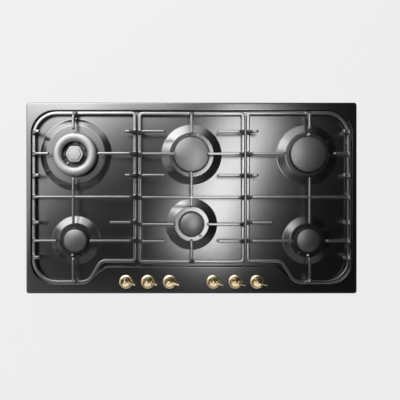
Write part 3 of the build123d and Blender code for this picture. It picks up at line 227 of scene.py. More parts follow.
class Mesh:
    """Surfaces gathered into one mesh: grids, flat sheets, and the joins between them."""

    def __init__(self) -> None:
        """Starts with no points."""
        self.points: list[Array] = []
        self.faces: list[tuple[int, ...]] = []

    def _take(self, points: Array) -> int:
        """Keeps a block of points (n, 3) and gives the number of its first."""
        self.points.append(points)
        return sum(len(block) for block in self.points[:-1])

    def grid(self, points: Array, wrap_rows: bool = True, wrap_columns: bool = False) -> "Mesh":
        """Adds a four-sided face between each point of a grid and its neighbours.

        Args:
            points: Grid of points (rows, columns, 3).
            wrap_rows: Whether the last row joins the first.
            wrap_columns: Whether the last column joins the first.

        Returns:
            This mesh.
        """
        rows, columns = points.shape[:2]
        first = self._take(points.reshape(-1, 3))
        row = np.arange(rows if wrap_rows else rows - 1)[:, None]
        column = np.arange(columns if wrap_columns else columns - 1)[None, :]
        next_row, next_column = (row + 1) % rows, (column + 1) % columns
        corners = [row * columns + column, next_row * columns + column,
                   next_row * columns + next_column, row * columns + next_column]
        shape = (len(row), column.shape[1])
        quads = first + np.stack([np.broadcast_to(corner, shape).ravel() for corner in corners], axis=1)
        self.faces.extend(map(tuple, quads.tolist()))
        return self

    def sheet(self, loops: list[Array], height: float) -> None:
        """Adds a flat level sheet with an outline and holes.

        Args:
            loops: The outline (n, 2), then each hole's outline.
            height: Height of the sheet.
        """
        lifted = [np.column_stack([loop, np.full(len(loop), height)]) for loop in loops]
        first = self._take(np.concatenate(lifted))
        triangles = tessellate_polygon([[Vector(point) for point in loop] for loop in lifted])
        self.faces.extend(tuple(first + index for index in triangle) for triangle in triangles)

    def piece(self, name: str, upward: bool = False) -> bpy.types.Object:
        """Makes the object: doubles merged, normals outward, smooth but for its edges.

        Args:
            name: Name of the object.
            upward: Whether this is an open sheet whose normals point up on the whole.

        Returns:
            The object, at the origin and unturned.
        """
        mesh = bpy.data.meshes.new(name)
        mesh.from_pydata(np.concatenate(self.points) * MM, [], self.faces)
        shape = bmesh.new()
        shape.from_mesh(mesh)
        bmesh.ops.remove_doubles(shape, verts=shape.verts, dist=SAME_PLACE)
        bmesh.ops.dissolve_degenerate(shape, edges=shape.edges, dist=NO_LENGTH)
        bmesh.ops.recalc_face_normals(shape, faces=shape.faces)
        if upward and sum(face.normal.z * face.calc_area() for face in shape.faces) < 0.0:
            bmesh.ops.reverse_faces(shape, faces=shape.faces)
        open_edges = np.array([edge.is_boundary for edge in shape.edges], bool)
        shape.to_mesh(mesh)
        shape.free()
        mesh.shade_smooth()
        mesh.set_sharp_from_angle(angle=math.radians(SMOOTH_DEGREES))
        mark = np.zeros(len(mesh.edges), bool)
        sharp = mesh.attributes["sharp_edge"]
        sharp.data.foreach_get("value", mark)
        sharp.data.foreach_set("value", mark | open_edges)
        return linked(name, mesh)


# ---- finishes

class Grain(Enum):
    """The fine relief of a surface."""

    PEEL = "enamel flow"
    SAND = "sand casting"
    SATIN = "fine blasting"
    POLISH = "polishing lines"
    SPANGLE = "zinc crystals"
    PLAIN = "moulded"


GRAIN_DETAIL = {Grain.PEEL: 1.0, Grain.SAND: 9.0, Grain.SATIN: 6.0, Grain.POLISH: 3.0, Grain.SPANGLE: 2.0,
                Grain.PLAIN: 2.0}
POLISH_STRETCH = (1.0, 1.0, 9.0)     # polishing lines run round a piece, so they are close together upwards
BUMP_REACH = 0.35                    # height of the relief as a share of one grain
CLOUD_BAND = (0.3, 0.7)              # stretch of the cloud over which the tone changes
CLOUD_DETAIL = 4.0
WEAR_FINER = 6.0                     # the roughness cloud is this much finer than the tone's
WEAR_DETAIL = 5.0
LEAST_ROUGHNESS = 0.02


def plug(tree: Tree, node: Node, **values: float | tuple | Socket) -> Node:
    """Sets or links a node's inputs.

    Args:
        tree: The node's tree.
        node: The node.
        values: For each input its value, or the output to link; an underscore stands for a space.

    Returns:
        The node.
    """
    for name, value in values.items():
        socket = node.inputs[name.replace("_", " ")]
        if isinstance(value, Socket):
            tree.links.new(value, socket)
        else:
            socket.default_value = value
    return node


def add_node(tree: Tree, kind: str, **values: float | tuple | Socket) -> Node:
    """Adds a shader node of a kind, and plugs its inputs."""
    return plug(tree, tree.nodes.new(f"ShaderNode{kind}"), **values)


def noise(tree: Tree, place: Socket, scale: float, detail: float) -> Socket:
    """Adds a noise at a place, of a scale in cycles per metre, and gives its amount."""
    return add_node(tree, "TexNoise", Vector=place, Scale=scale, Detail=detail).outputs["Fac"]


@dataclass(frozen=True)
class Finish:
    """One procedural finish on Object coordinates.

    The colour wanders a little with a broad cloud, the roughness with a finer one, and the grain sets the
    bump. Everything that is the same all over the surface is set on the shader's own sockets.
    """

    name: str
    slot: str
    colour: Colour
    roughness: float
    metallic: float = 1.0
    specular: float = 0.5
    coat: float = 0.0
    coat_roughness: float = 0.1
    grain: Grain = Grain.SATIN
    grain_scale: float = 900.0
    relief: float = 0.1
    cloud: float = 0.12
    cloud_scale: float = 14.0
    uneven: float = 0.06

    def material(self) -> bpy.types.Material:
        """Builds the node material.

        Returns:
            The material.
        """
        made = bpy.data.materials.new(self.name)
        made.use_nodes = True
        made.diffuse_color = (*self.colour, 1.0)
        tree = made.node_tree
        place = add_node(tree, "TexCoord").outputs["Object"]
        plug(tree, tree.nodes["Principled BSDF"], Base_Color=self._tint(tree, place),
             Roughness=self._wear(tree, place), Normal=self._relief(tree, place), Metallic=self.metallic,
             Specular_IOR_Level=self.specular, Coat_Weight=self.coat, Coat_Roughness=self.coat_roughness)
        return made

    def _tint(self, tree: Tree, place: Socket) -> Socket:
        """Colour between a darker and a lighter tone of the finish, by a broad cloud or by zinc crystals.

        Args:
            tree: The material's tree.
            place: The Object coordinates.

        Returns:
            The colour.
        """
        if self.grain is Grain.SPANGLE:
            amount = add_node(tree, "TexVoronoi", Vector=place, Scale=self.grain_scale).outputs["Color"]
        else:
            amount = noise(tree, place, self.cloud_scale, CLOUD_DETAIL)
        ramp = add_node(tree, "ValToRGB", Fac=amount)
        tones = (1.0 - self.cloud, 1.0 + self.cloud)
        for stop, position, tone in zip(ramp.color_ramp.elements, CLOUD_BAND, tones):
            stop.position = position
            stop.color = (*(min(1.0, part * tone) for part in self.colour), 1.0)
        return ramp.outputs["Color"]

    def _wear(self, tree: Tree, place: Socket) -> Socket:
        """Roughness by a finer cloud, from its mean less the unevenness to its mean plus the unevenness.

        Args:
            tree: The material's tree.
            place: The Object coordinates.

        Returns:
            The roughness.
        """
        least, most = max(LEAST_ROUGHNESS, self.roughness - self.uneven), self.roughness + self.uneven
        amount = noise(tree, place, WEAR_FINER * self.cloud_scale, WEAR_DETAIL)
        return add_node(tree, "MapRange", Value=amount, To_Min=least, To_Max=most).outputs["Result"]

    def _relief(self, tree: Tree, place: Socket) -> Socket:
        """Bump by the grain.

        Args:
            tree: The material's tree.
            place: The Object coordinates.

        Returns:
            The normal.
        """
        if self.grain is Grain.POLISH:
            place = add_node(tree, "Mapping", Vector=place, Scale=POLISH_STRETCH).outputs["Vector"]
        height = noise(tree, place, self.grain_scale, GRAIN_DETAIL[self.grain])
        return add_node(tree, "Bump", Height=height, Strength=self.relief,
                        Distance=BUMP_REACH / self.grain_scale).outputs["Normal"]


FINISHES = (
    Finish("black_enamel", "black_enamel", (0.158, 0.158, 0.161), 0.25, grain=Grain.PEEL, grain_scale=600.0,
           relief=0.002, cloud=0.02, uneven=0.004),
    Finish("cap_enamel", "cap_enamel", (0.19, 0.19, 0.192), 0.43, metallic=0.88, grain_scale=1400.0,
           relief=0.04),
    Finish("cast_iron", "cast_iron", (0.27, 0.27, 0.274), 0.3, metallic=0.92, grain=Grain.SAND, relief=0.05,
           cloud=0.1, uneven=0.04),
    Finish("zinc_steel", "zinc_steel", (0.6, 0.61, 0.63), 0.42, grain=Grain.SPANGLE, grain_scale=130.0,
           relief=0.05, cloud=0.1),
    Finish("steel", "steel", (0.56, 0.56, 0.57), 0.3, grain=Grain.POLISH, relief=0.08),
    Finish("satin_aluminium", "aluminium", (0.38, 0.38, 0.373), 0.5, metallic=0.75, grain_scale=1400.0,
           relief=0.06, cloud=0.05),
    Finish("cast_aluminium", "aluminium", (0.2, 0.2, 0.197), 0.45, grain=Grain.SAND, cloud=0.15),
    # Cast aluminium darkened to stand for the shade in the recess under the caps and inside the wok burner:
    # painted shade.
    Finish("dark_casting", "aluminium", (0.07, 0.07, 0.07), 0.5, grain=Grain.SAND, cloud=0.15),
    Finish("blued_steel", "steel", (0.12, 0.12, 0.125), 0.35, grain=Grain.POLISH, relief=0.08),
    Finish("polished_brass", "brass", (0.95, 0.77, 0.48), 0.09, grain=Grain.POLISH, grain_scale=800.0,
           relief=0.01, cloud=0.04, uneven=0.02),
    Finish("satin_brass", "brass", (0.95, 0.78, 0.5), 0.34, grain_scale=1400.0, relief=0.02, cloud=0.04,
           uneven=0.02),
    Finish("machined_brass", "brass", (0.78, 0.6, 0.3), 0.3, grain=Grain.POLISH),
    Finish("rubber", "rubber", (0.025, 0.025, 0.025), 0.7, metallic=0.0, specular=0.4, relief=0.3),
    Finish("foam", "rubber", (0.03, 0.03, 0.031), 0.85, metallic=0.0, specular=0.3, grain=Grain.SAND,
           grain_scale=500.0, relief=0.6),
    Finish("glazed_ceramic", "ceramic", (0.86, 0.85, 0.82), 0.16, metallic=0.0, coat=0.6,
           coat_roughness=0.06, grain=Grain.PEEL, grain_scale=500.0, relief=0.04, cloud=0.03),
    Finish("moulded_plastic", "plastic", (0.06, 0.06, 0.062), 0.5, metallic=0.0, grain=Grain.PLAIN,
           grain_scale=1500.0, relief=0.15),
)
CAD_FINISHES = {
    "foam": ("worktop_gasket",),
    "zinc_steel": ("burner_box", "fixing_clamps", "burner_brackets"),
    "steel": ("box_screws", "clamp_screws", "gas_rail", "knob_stem"),
    "cast_aluminium": ("burner_cups", "tap_bodies", "gas_tubes"),
    "machined_brass": ("injectors", "gas_inlet", "tap_plug"),
    # The crowns and the wok burner's base take the casting darkened as painted shade for their shaded recess.
    "dark_casting": ("wok_burner_base", "crown", "wok_outer_crown", "wok_inner_crown"),
    "blued_steel": ("thermocouples",),
    "moulded_plastic": ("ignition_module", "ignition_switches", "mains_gland", "terminal_block"),
    "rubber": ("ignition_leads", "support_feet"),
}


class Workshop:
    """Holds the finishes and sets each piece in place on its body."""

    def __init__(self, packed: dict) -> None:
        """Builds every finish.
        """
        self.nodes = packed["nodes"]
        self.finishes = {finish.name: finish for finish in FINISHES}
        self.materials = {finish.name: finish.material() for finish in FINISHES}

    def place(self, piece: bpy.types.Object, finish: str, body: str, *stands_for: str) -> None:
        """Dresses a new piece and rides it on a body.

        Args:
            piece: The new piece, with its place in its mesh.
            finish: Name of its finish.
            body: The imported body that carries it.
            stands_for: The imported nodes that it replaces.
        """
        piece.data.materials.append(self.materials[finish])
        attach(piece, body)
        if stands_for:
            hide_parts(*stands_for)
        log.info("piece %s on %s in %s", piece.name, body, finish)

    def dress_kept_nodes(self) -> None:
        """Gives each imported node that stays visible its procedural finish, by the start of its name."""
        for name, node in self.nodes.items():
            kinds = [(len(kind), finish) for finish, starts in CAD_FINISHES.items() for kind in starts
                     if name == kind or name.startswith(kind + "_")]
            if not kinds:
                continue
            finish = max(kinds)[1]
            node.data.materials.clear()
            node.data.materials.append(self.materials[finish])
            log.info("node %s in %s", name, finish)


# ---- places and sizes of the burners and knobs

@dataclass(frozen=True)
class Burner:
    """One round burner: its place, the sizes of its pressed cone and its cap, and its two pins."""

    name: str
    at: Plan
    cone_r: float
    plateau_r: float
    crown_r: float
    cap_r: float
    pin_r: float
    spark_degrees: float
    sensor_degrees: float

    def spark(self) -> Plan:
        """Plan place of the electrode."""
        return on_circle(self.pin_r, self.spark_degrees, self.at)

    def sensor(self) -> Plan:
        """Plan place of the flame sensor."""
        return on_circle(self.pin_r, self.sensor_degrees, self.at)


BURNERS = (
    Burner("rear_centre", (0.0, 118.0), 82.0, 60.0, 50.0, 46.5, 54.5, 72.5, 108.0),
    Burner("rear_right", (315.0, 118.0), 82.0, 60.0, 50.0, 46.5, 54.5, 86.0, 122.0),
    Burner("front_left", (-315.0, -115.0), 65.5, 47.0, 35.5, 30.0, 40.3, -101.0, -58.0),
    Burner("front_centre", (0.0, -71.0), 69.5, 47.0, 35.5, 30.0, 40.3, -96.0, -53.0),
    Burner("front_right", (315.0, -115.0), 65.5, 47.0, 35.5, 30.0, 40.3, -89.0, -122.0),
)
WOK_AT = (-315.0, 118.0)
CROWN_TOP = 22.5
KNOB_PITCH = 59.5
KNOB_Y = -228.0
KNOB_PLACES = tuple((KNOB_PITCH * step, KNOB_Y) for step in (-3, -2, -1, 1, 2, 3))


# ---- pressed top

@dataclass
class HobTop:
    """The pressed top: flat rim with a returned edge, sunken well with a notch, and raised burner cones."""

    shop: Workshop
    width: float = 900.0
    depth: float = 520.0
    corner_r: float = 7.0
    rim_top: float = 9.0
    rim_low: float = 3.0
    edge_r: float = 2.2
    return_r: float = 1.4
    return_width: float = 9.0
    sheet: float = 1.2
    floor: float = 2.0
    plateau: float = 10.0
    side_border: float = 12.5
    rear_border: float = 21.0
    front_border: float = 23.5
    well_corner_r: float = 65.0
    notch_half: float = 234.0
    notch_depth: float = 72.5
    notch_slant: float = 54.0
    notch_r: float = 22.0
    bevel: float = 3.2
    shoulder_r: float = 1.6
    cone_shoulder_r: float = 6.0
    wok_cone_r: float = 97.5
    wok_plateau_r: float = 80.0
    wok_hole_r: float = 55.9
    crown_inset: float = 7.6
    spark_hole_r: float = 3.1
    sensor_hole_r: float = 4.1
    knob_hole_r: float = 6.0
    flat: float = 3.0
    cone_steps: int = 128
    pin_steps: int = 24
    knob_steps: int = 32

    def well_outline(self) -> tuple[Array, Array]:
        """Anticlockwise outline of the well, with its outward normals.

        Returns:
            The points (n, 2) and the normals (n, 2).
        """
        side = self.width / 2 - self.side_border
        rear = self.depth / 2 - self.rear_border
        front = -self.depth / 2 + self.front_border
        notch = -self.depth / 2 + self.notch_depth
        right = [(self.notch_half, notch), (self.notch_half + self.notch_slant, front), (side, front),
                 (side, rear)]
        left = [(-x, y) for x, y in reversed(right)]
        radii = [self.notch_r, self.notch_r, self.well_corner_r, self.well_corner_r]
        return rounded_chain(right + left, radii + radii[::-1], closed=True, step_degrees=3.0)

    def outer_outline(self) -> tuple[Array, Array]:
        """Anticlockwise outline of the top, with its outward normals.

        Returns:
            The points (n, 2) and the normals (n, 2).
        """
        x, y = self.width / 2, self.depth / 2
        corners = [(x, -y), (x, y), (-x, y), (-x, -y)]
        return rounded_chain(corners, [self.corner_r] * 4, closed=True, step_degrees=7.5)

    def edge_profile(self) -> Array:
        """Flat rim, rounded edge, short wall and the lip turned back under it.

        Returns:
            Offset and height pairs (n, 2).
        """
        corners = [(-self.flat - self.edge_r, self.rim_top), (0.0, self.rim_top), (0.0, self.rim_low),
                   (-self.return_width, self.rim_low)]
        return open_profile(corners, [0.0, self.edge_r, self.return_r, 0.0], step_degrees=15.0)

    def slope_profile(self, outer: Plan, inner: Plan, shoulder_r: float, step_degrees: float) -> Array:
        """Slope between two levels: an S of two arcs about its side, with a flat strip at each end."""
        corners = [(outer[0] + self.flat, outer[1]), outer, inner, (inner[0] - self.flat, inner[1])]
        return open_profile(corners, [0.0, shoulder_r, shoulder_r, 0.0], step_degrees)

    def cones(self) -> list[tuple[Plan, float, float, float, list[tuple[Plan, float]]]]:
        """The burner cones.

        Returns:
            Each one's place, base radius, plateau radius, hole radius and pin holes.
        """
        rows = [(WOK_AT, self.wok_cone_r, self.wok_plateau_r, self.wok_hole_r, [])]
        for burner in BURNERS:
            pins = [(burner.spark(), self.spark_hole_r), (burner.sensor(), self.sensor_hole_r)]
            hole_r = burner.crown_r - self.crown_inset
            rows.append((burner.at, burner.cone_r, burner.plateau_r, hole_r, pins))
        return rows

    def build(self) -> None:
        """Makes the sheet's upper face and gives it its thickness downwards."""
        mesh = Mesh()
        outer, outer_out = self.outer_outline()
        well, well_out = self.well_outline()
        edge = self.edge_profile()
        bevel = self.slope_profile((0.0, self.rim_top), (-self.bevel, self.floor), self.shoulder_r,
                                   step_degrees=9.0)
        mesh.grid(carried(outer, outer_out, edge))
        mesh.grid(carried(well, well_out, bevel))
        rim = [outer + outer_out * edge[0, 0], well + well_out * bevel[0, 0]]
        rim += [circle(self.knob_hole_r, place, self.knob_steps) for place in KNOB_PLACES]
        mesh.sheet(rim, self.rim_top)
        floor = [well + well_out * bevel[-1, 0]]
        for at, cone_r, plateau_r, hole_r, pins in self.cones():
            foot, head = (cone_r, self.floor), (plateau_r, self.plateau)
            side = self.slope_profile(foot, head, self.cone_shoulder_r, step_degrees=4.0)
            mesh.grid(lathed(side, at, self.cone_steps))
            floor.append(circle(side[0, 0], at, self.cone_steps))
            holes = [circle(hole_r, at)]
            holes += [circle(radius, pin, self.pin_steps) for pin, radius in pins]
            mesh.sheet([circle(side[-1, 0], at, self.cone_steps)] + holes, self.plateau)
        mesh.sheet(floor, self.floor)
        top = mesh.piece("pressed_top", upward=True)
        wall = top.modifiers.new("sheet", "SOLIDIFY")
        wall.thickness = self.sheet * MM
        wall.offset = -1.0
        self.shop.place(top, "black_enamel", "hob", "hob_top")


# ---- pan supports

@dataclass(frozen=True)
class Finger:
    """One bar of a pan support, from the frame or from a free tip to a second end."""

    start: Plan
    end: Plan
    start_leg: bool = True
    end_leg: bool = False
    width: float = 6.8

    def mirrored(self, side: float) -> "Finger":
        """Same finger at side 1, or its mirror image in X at side -1."""
        start, end = (side * self.start[0], self.start[1]), (side * self.end[0], self.end[1])
        return Finger(start, end, self.start_leg, self.end_leg, self.width)


@dataclass
class PanSupport:
    """A cast pan support: a low closed frame, tall fingers on legs, and pads over the rubber feet."""

    shop: Workshop
    name: str
    line: list[Plan]
    radii: list[float]
    fingers: list[Finger]
    feet: list[Plan]
    frame_width: float = 9.4
    frame_low: float = 9.0
    frame_top: float = 20.0
    rack_top: float = 48.0
    bar_height: float = 9.0
    squareness: float = 5.0
    section_points: int = 32
    stations: int = 56
    overlap: float = 0.6
    gusset: float = 25.0
    gusset_share: float = 0.7
    leg_run: float = 15.5
    leg_power: float = 1.5
    sunk: float = 1.0
    throat_start: float = 4.0
    throat_power: float = 0.9
    throat_rise: float = 2.0
    flare: float = 2.3
    flare_run: float = 16.0
    flare_power: float = 1.5
    tip_fall: float = 5.0
    tip_least: float = 0.3
    tip_run: float = 1.6
    tip_narrow: float = 0.35
    pad_r: float = 5.0
    pad_height: float = 4.0
    pad_edge_r: float = 0.5
    pad_sunk: float = 2.0
    grain: float = 1.08
    soften_factor: float = 0.5
    soften_steps: int = 2

    def _leg(self, run: Array, gusset: float) -> tuple[Array, Array, Array]:
        """Lines over a leg.

        The top rises as one less a power of the way that is left, the underside as a power of the way past
        the throat's start, and the flare fades as a power of the way that is left.

        Args:
            run: Distances (n,) from the frame's centre line.
            gusset: Distance at which the underside is level.

        Returns:
            Top line, underside and extra half width, each (n,).
        """
        lead = 0.5 * self.frame_width - self.overlap
        rise = np.clip((run + lead) / self.leg_run, 0.0, 1.0)
        top = (self.frame_top - self.sunk + (self.rack_top - self.frame_top + self.sunk)
               * (1.0 - (1.0 - rise) ** self.leg_power))
        drop = np.clip((run - self.throat_start) / (gusset - self.throat_start), 0.0, 1.0)
        low = (self.frame_low + self.throat_rise
               + (self.rack_top - self.bar_height - self.frame_low - self.throat_rise)
               * drop ** self.throat_power)
        flare = self.flare * np.clip(1.0 - run / self.flare_run, 0.0, 1.0) ** self.flare_power
        return top, low, flare

    def _tip(self, run: Array) -> tuple[Array, Array]:
        """Quarter circles over a blunt free tip.

        Args:
            run: Distances (n,) from the tip.

        Returns:
            Share of the height that is left, and share of the section that is open, each (n,).
        """
        fall = np.clip(run / self.tip_fall, 0.0, 1.0)
        left = self.tip_least + (1.0 - self.tip_least) * np.sqrt(1.0 - (1.0 - fall) ** 2)
        tip = np.clip(run / self.tip_run, 0.0, 1.0)
        return left, np.sqrt(np.maximum(1.0 - (1.0 - tip) ** 2, 0.0))

    def _finger(self, finger: Finger) -> Array:
        """Finger as a loft of upright superellipse sections.

        Along the finger the top line rises from the frame to the rack's height over the leg, the underside
        follows it lower down over the gusset, and both close to a blunt tip at a free end.

        Args:
            finger: The finger to build.

        Returns:
            Grid of points (stations, section points, 3).
        """
        start, end = np.asarray(finger.start, float), np.asarray(finger.end, float)
        length = float(np.linalg.norm(end - start))
        lead = 0.5 * self.frame_width - self.overlap
        near = -lead if finger.start_leg else 0.0
        far = length + lead if finger.end_leg else length
        along = near + (far - near) * 0.5 * (1.0 - np.cos(np.linspace(0.0, np.pi, self.stations)))
        top = np.full_like(along, self.rack_top)
        low = np.full_like(along, self.rack_top - self.bar_height)
        half = np.full_like(along, 0.5 * finger.width)
        gusset = min(self.gusset, self.gusset_share * length)
        for leg, run in ((finger.start_leg, along), (finger.end_leg, length - along)):
            if leg:
                leg_top, leg_low, flare = self._leg(run, gusset)
                top, low, half = np.minimum(top, leg_top), np.minimum(low, leg_low), half + flare
            else:
                left, close = self._tip(run)
                top = low + (top - low) * left
                middle = 0.5 * (top + low)
                top, low = middle + (top - middle) * close, middle + (low - middle) * close
                narrow = self.tip_narrow + (1.0 - self.tip_narrow) * close
                half = half * narrow * np.where(close > 0.0, 1.0, 0.0)
        section = rounded_section(1.0, 1.0, self.squareness, self.section_points)
        return swept(start, (end - start) / length, along, 2.0 * half, top - low, 0.5 * (top + low), section)

    def build(self) -> None:
        """Joins frame, fingers and pads into one casting with softly filled inner corners."""
        mesh = Mesh()
        path, out = rounded_chain(self.line, self.radii, closed=True, step_degrees=5.0)
        section = rounded_section(self.frame_width, self.frame_top - self.frame_low, self.squareness,
                                  self.section_points)
        section = section + np.array([0.0, 0.5 * (self.frame_top + self.frame_low)])
        mesh.grid(carried(path, out, section), wrap_columns=True)
        for finger in self.fingers:
            loft = self._finger(finger)
            ends = [np.broadcast_to(ring.mean(axis=0), ring.shape)[None] for ring in (loft[0], loft[-1])]
            mesh.grid(np.concatenate([ends[0], loft, ends[1]]), wrap_rows=False, wrap_columns=True)
        low, high = self.frame_low - self.pad_height, self.frame_low + self.pad_sunk
        pad = open_profile([(0.0, low), (self.pad_r, low), (self.pad_r, high), (0.0, high)],
                           [0.0, self.pad_edge_r, self.pad_edge_r, 0.0], step_degrees=6.0)
        for place in self.feet:
            mesh.grid(lathed(pad, place, self.section_points))
        casting = mesh.piece(f"pan_support_casting_{self.name}")
        union = casting.modifiers.new("one_casting", "REMESH")
        union.mode = "VOXEL"
        union.voxel_size = self.grain * MM
        union.use_smooth_shade = True
        soften = casting.modifiers.new("cast_corners", "SMOOTH")
        soften.factor = self.soften_factor
        soften.iterations = self.soften_steps
        self.shop.place(casting, "cast_iron", f"support_{self.name}", f"pan_support_{self.name}")


FEET_Y = (-135.0, 10.0, 150.0)       # the rubber feet along each side of a support
STUB_WIDTH = 8.4                     # the short stubs at a side support's outer edge are wider


def side_support(shop: Workshop, side: float) -> PanSupport:
    """Support over a rear and a front burner.

    Args:
        shop: The workshop that places it.
        side: -1 at the left and 1 at the right.

    Returns:
        The support.
    """
    outer, inner, rear, front, notch = 426.5, 153.5, 229.5, -228.0, -171.0
    line = [(inner, rear), (inner, notch), (245.0, notch), (279.0, front), (outer, front), (outer, rear)]
    radii = [8.0, 8.0, 22.0, 30.0, 62.0, 62.0]
    middle, rear_burner, front_burner = 315.0, 118.0, -115.0
    fingers = [
        Finger((middle, rear), (middle, 181.0)),
        Finger((middle, 55.0), (middle, -70.0), start_leg=False),
        Finger((middle, front), (middle, -159.0)),
        Finger((outer, rear_burner), (378.0, rear_burner)),
        Finger((inner, rear_burner), (252.0, rear_burner)),
        Finger((outer, 2.0), (inner, 2.0), end_leg=True),
        Finger((outer, front_burner), (357.0, front_burner)),
        Finger((inner, front_burner), (273.0, front_burner)),
    ]
    fingers += [Finger((inner, y), (tip, y)) for y, tip in ((177.0, 179.0), (60.0, 179.0), (-66.0, 219.0))]
    fingers += [Finger((outer, y), (403.0, y), width=STUB_WIDTH) for y in (177.0, 60.0, -66.0, -159.0)]
    name = "left"
    if side > 0:
        name, line, radii = "right", line[::-1], radii[::-1]
    return PanSupport(shop, name, [(side * x, y) for x, y in line], radii,
                      [finger.mirrored(side) for finger in fingers],
                      [(side * x, y) for x in (outer, inner) for y in FEET_Y])


def centre_support(shop: Workshop) -> PanSupport:
    """Support over the two centre burners.

    Args:
        shop: The workshop that places it.

    Returns:
        The support.
    """
    half, rear, front = 140.0, 228.5, -173.0
    fingers = [
        Finger((0.0, rear), (0.0, 169.0)),
        Finger((0.0, 70.0), (0.0, -26.0), start_leg=False),
        Finger((0.0, front), (0.0, -113.0)),
        Finger((-half, 1.0), (half, 1.0), end_leg=True),
    ]
    fingers += [Finger((side * half, y), (side * tip, y)) for side in (-1, 1)
                for y, tip in ((117.0, 42.0), (-71.0, 42.0), (177.0, 69.0), (60.0, 69.0), (-116.0, 69.0))]
    return PanSupport(shop, "centre", [(-half, front), (half, front), (half, rear), (-half, rear)],
                      [8.0] * 4, fingers, [(x, y) for x in (-half, half) for y in FEET_Y])


# ---- burners

@dataclass
class BurnerCap:
    """Enamelled lid of a round burner, with a locating ring below."""

    shop: Workshop
    burner: Burner
    edge: float = 1.5
    dome: float = 4.5
    dome_power: float = 2.2
    edge_r: float = 1.0
    low_edge_r: float = 0.5
    rim: float = 2.0
    seat: float = 4.0
    spigot_depth: float = 2.0
    spigot_wall: float = 2.5
    recess: float = 0.8
    crown_lip: float = 6.4
    dome_rings: int = 32
    steps: int = 128

    def build(self) -> None:
        """Turns the lid: domed top, rounded rim, flat underside and the locating ring."""
        cap_r, low = self.burner.cap_r, CROWN_TOP
        crest = low + self.edge + self.dome
        radius = np.linspace(0.0, cap_r - self.rim, self.dome_rings)
        drop = self.dome * (radius / cap_r) ** self.dome_power
        face = np.stack([radius, crest - drop], axis=1)
        rim = open_profile([(cap_r - self.rim, crest - drop[-1]), (cap_r, low + self.edge), (cap_r, low),
                            (cap_r - self.seat, low)],
                           [0.0, self.edge_r, self.low_edge_r, 0.0], step_degrees=12.0)
        outer = self.burner.crown_r - self.crown_lip
        inner, foot, deep = outer - self.spigot_wall, low - self.spigot_depth, low + self.recess
        under = np.array([(outer, low), (outer, foot), (inner, foot), (inner, deep), (0.0, deep)])
        profile = np.concatenate([face, rim[1:], under])
        lid = Mesh().grid(lathed(profile, self.burner.at, self.steps))
        node = f"cap_{self.burner.name}"
        self.shop.place(lid.piece(f"lid_{self.burner.name}"), "cap_enamel", node, node)


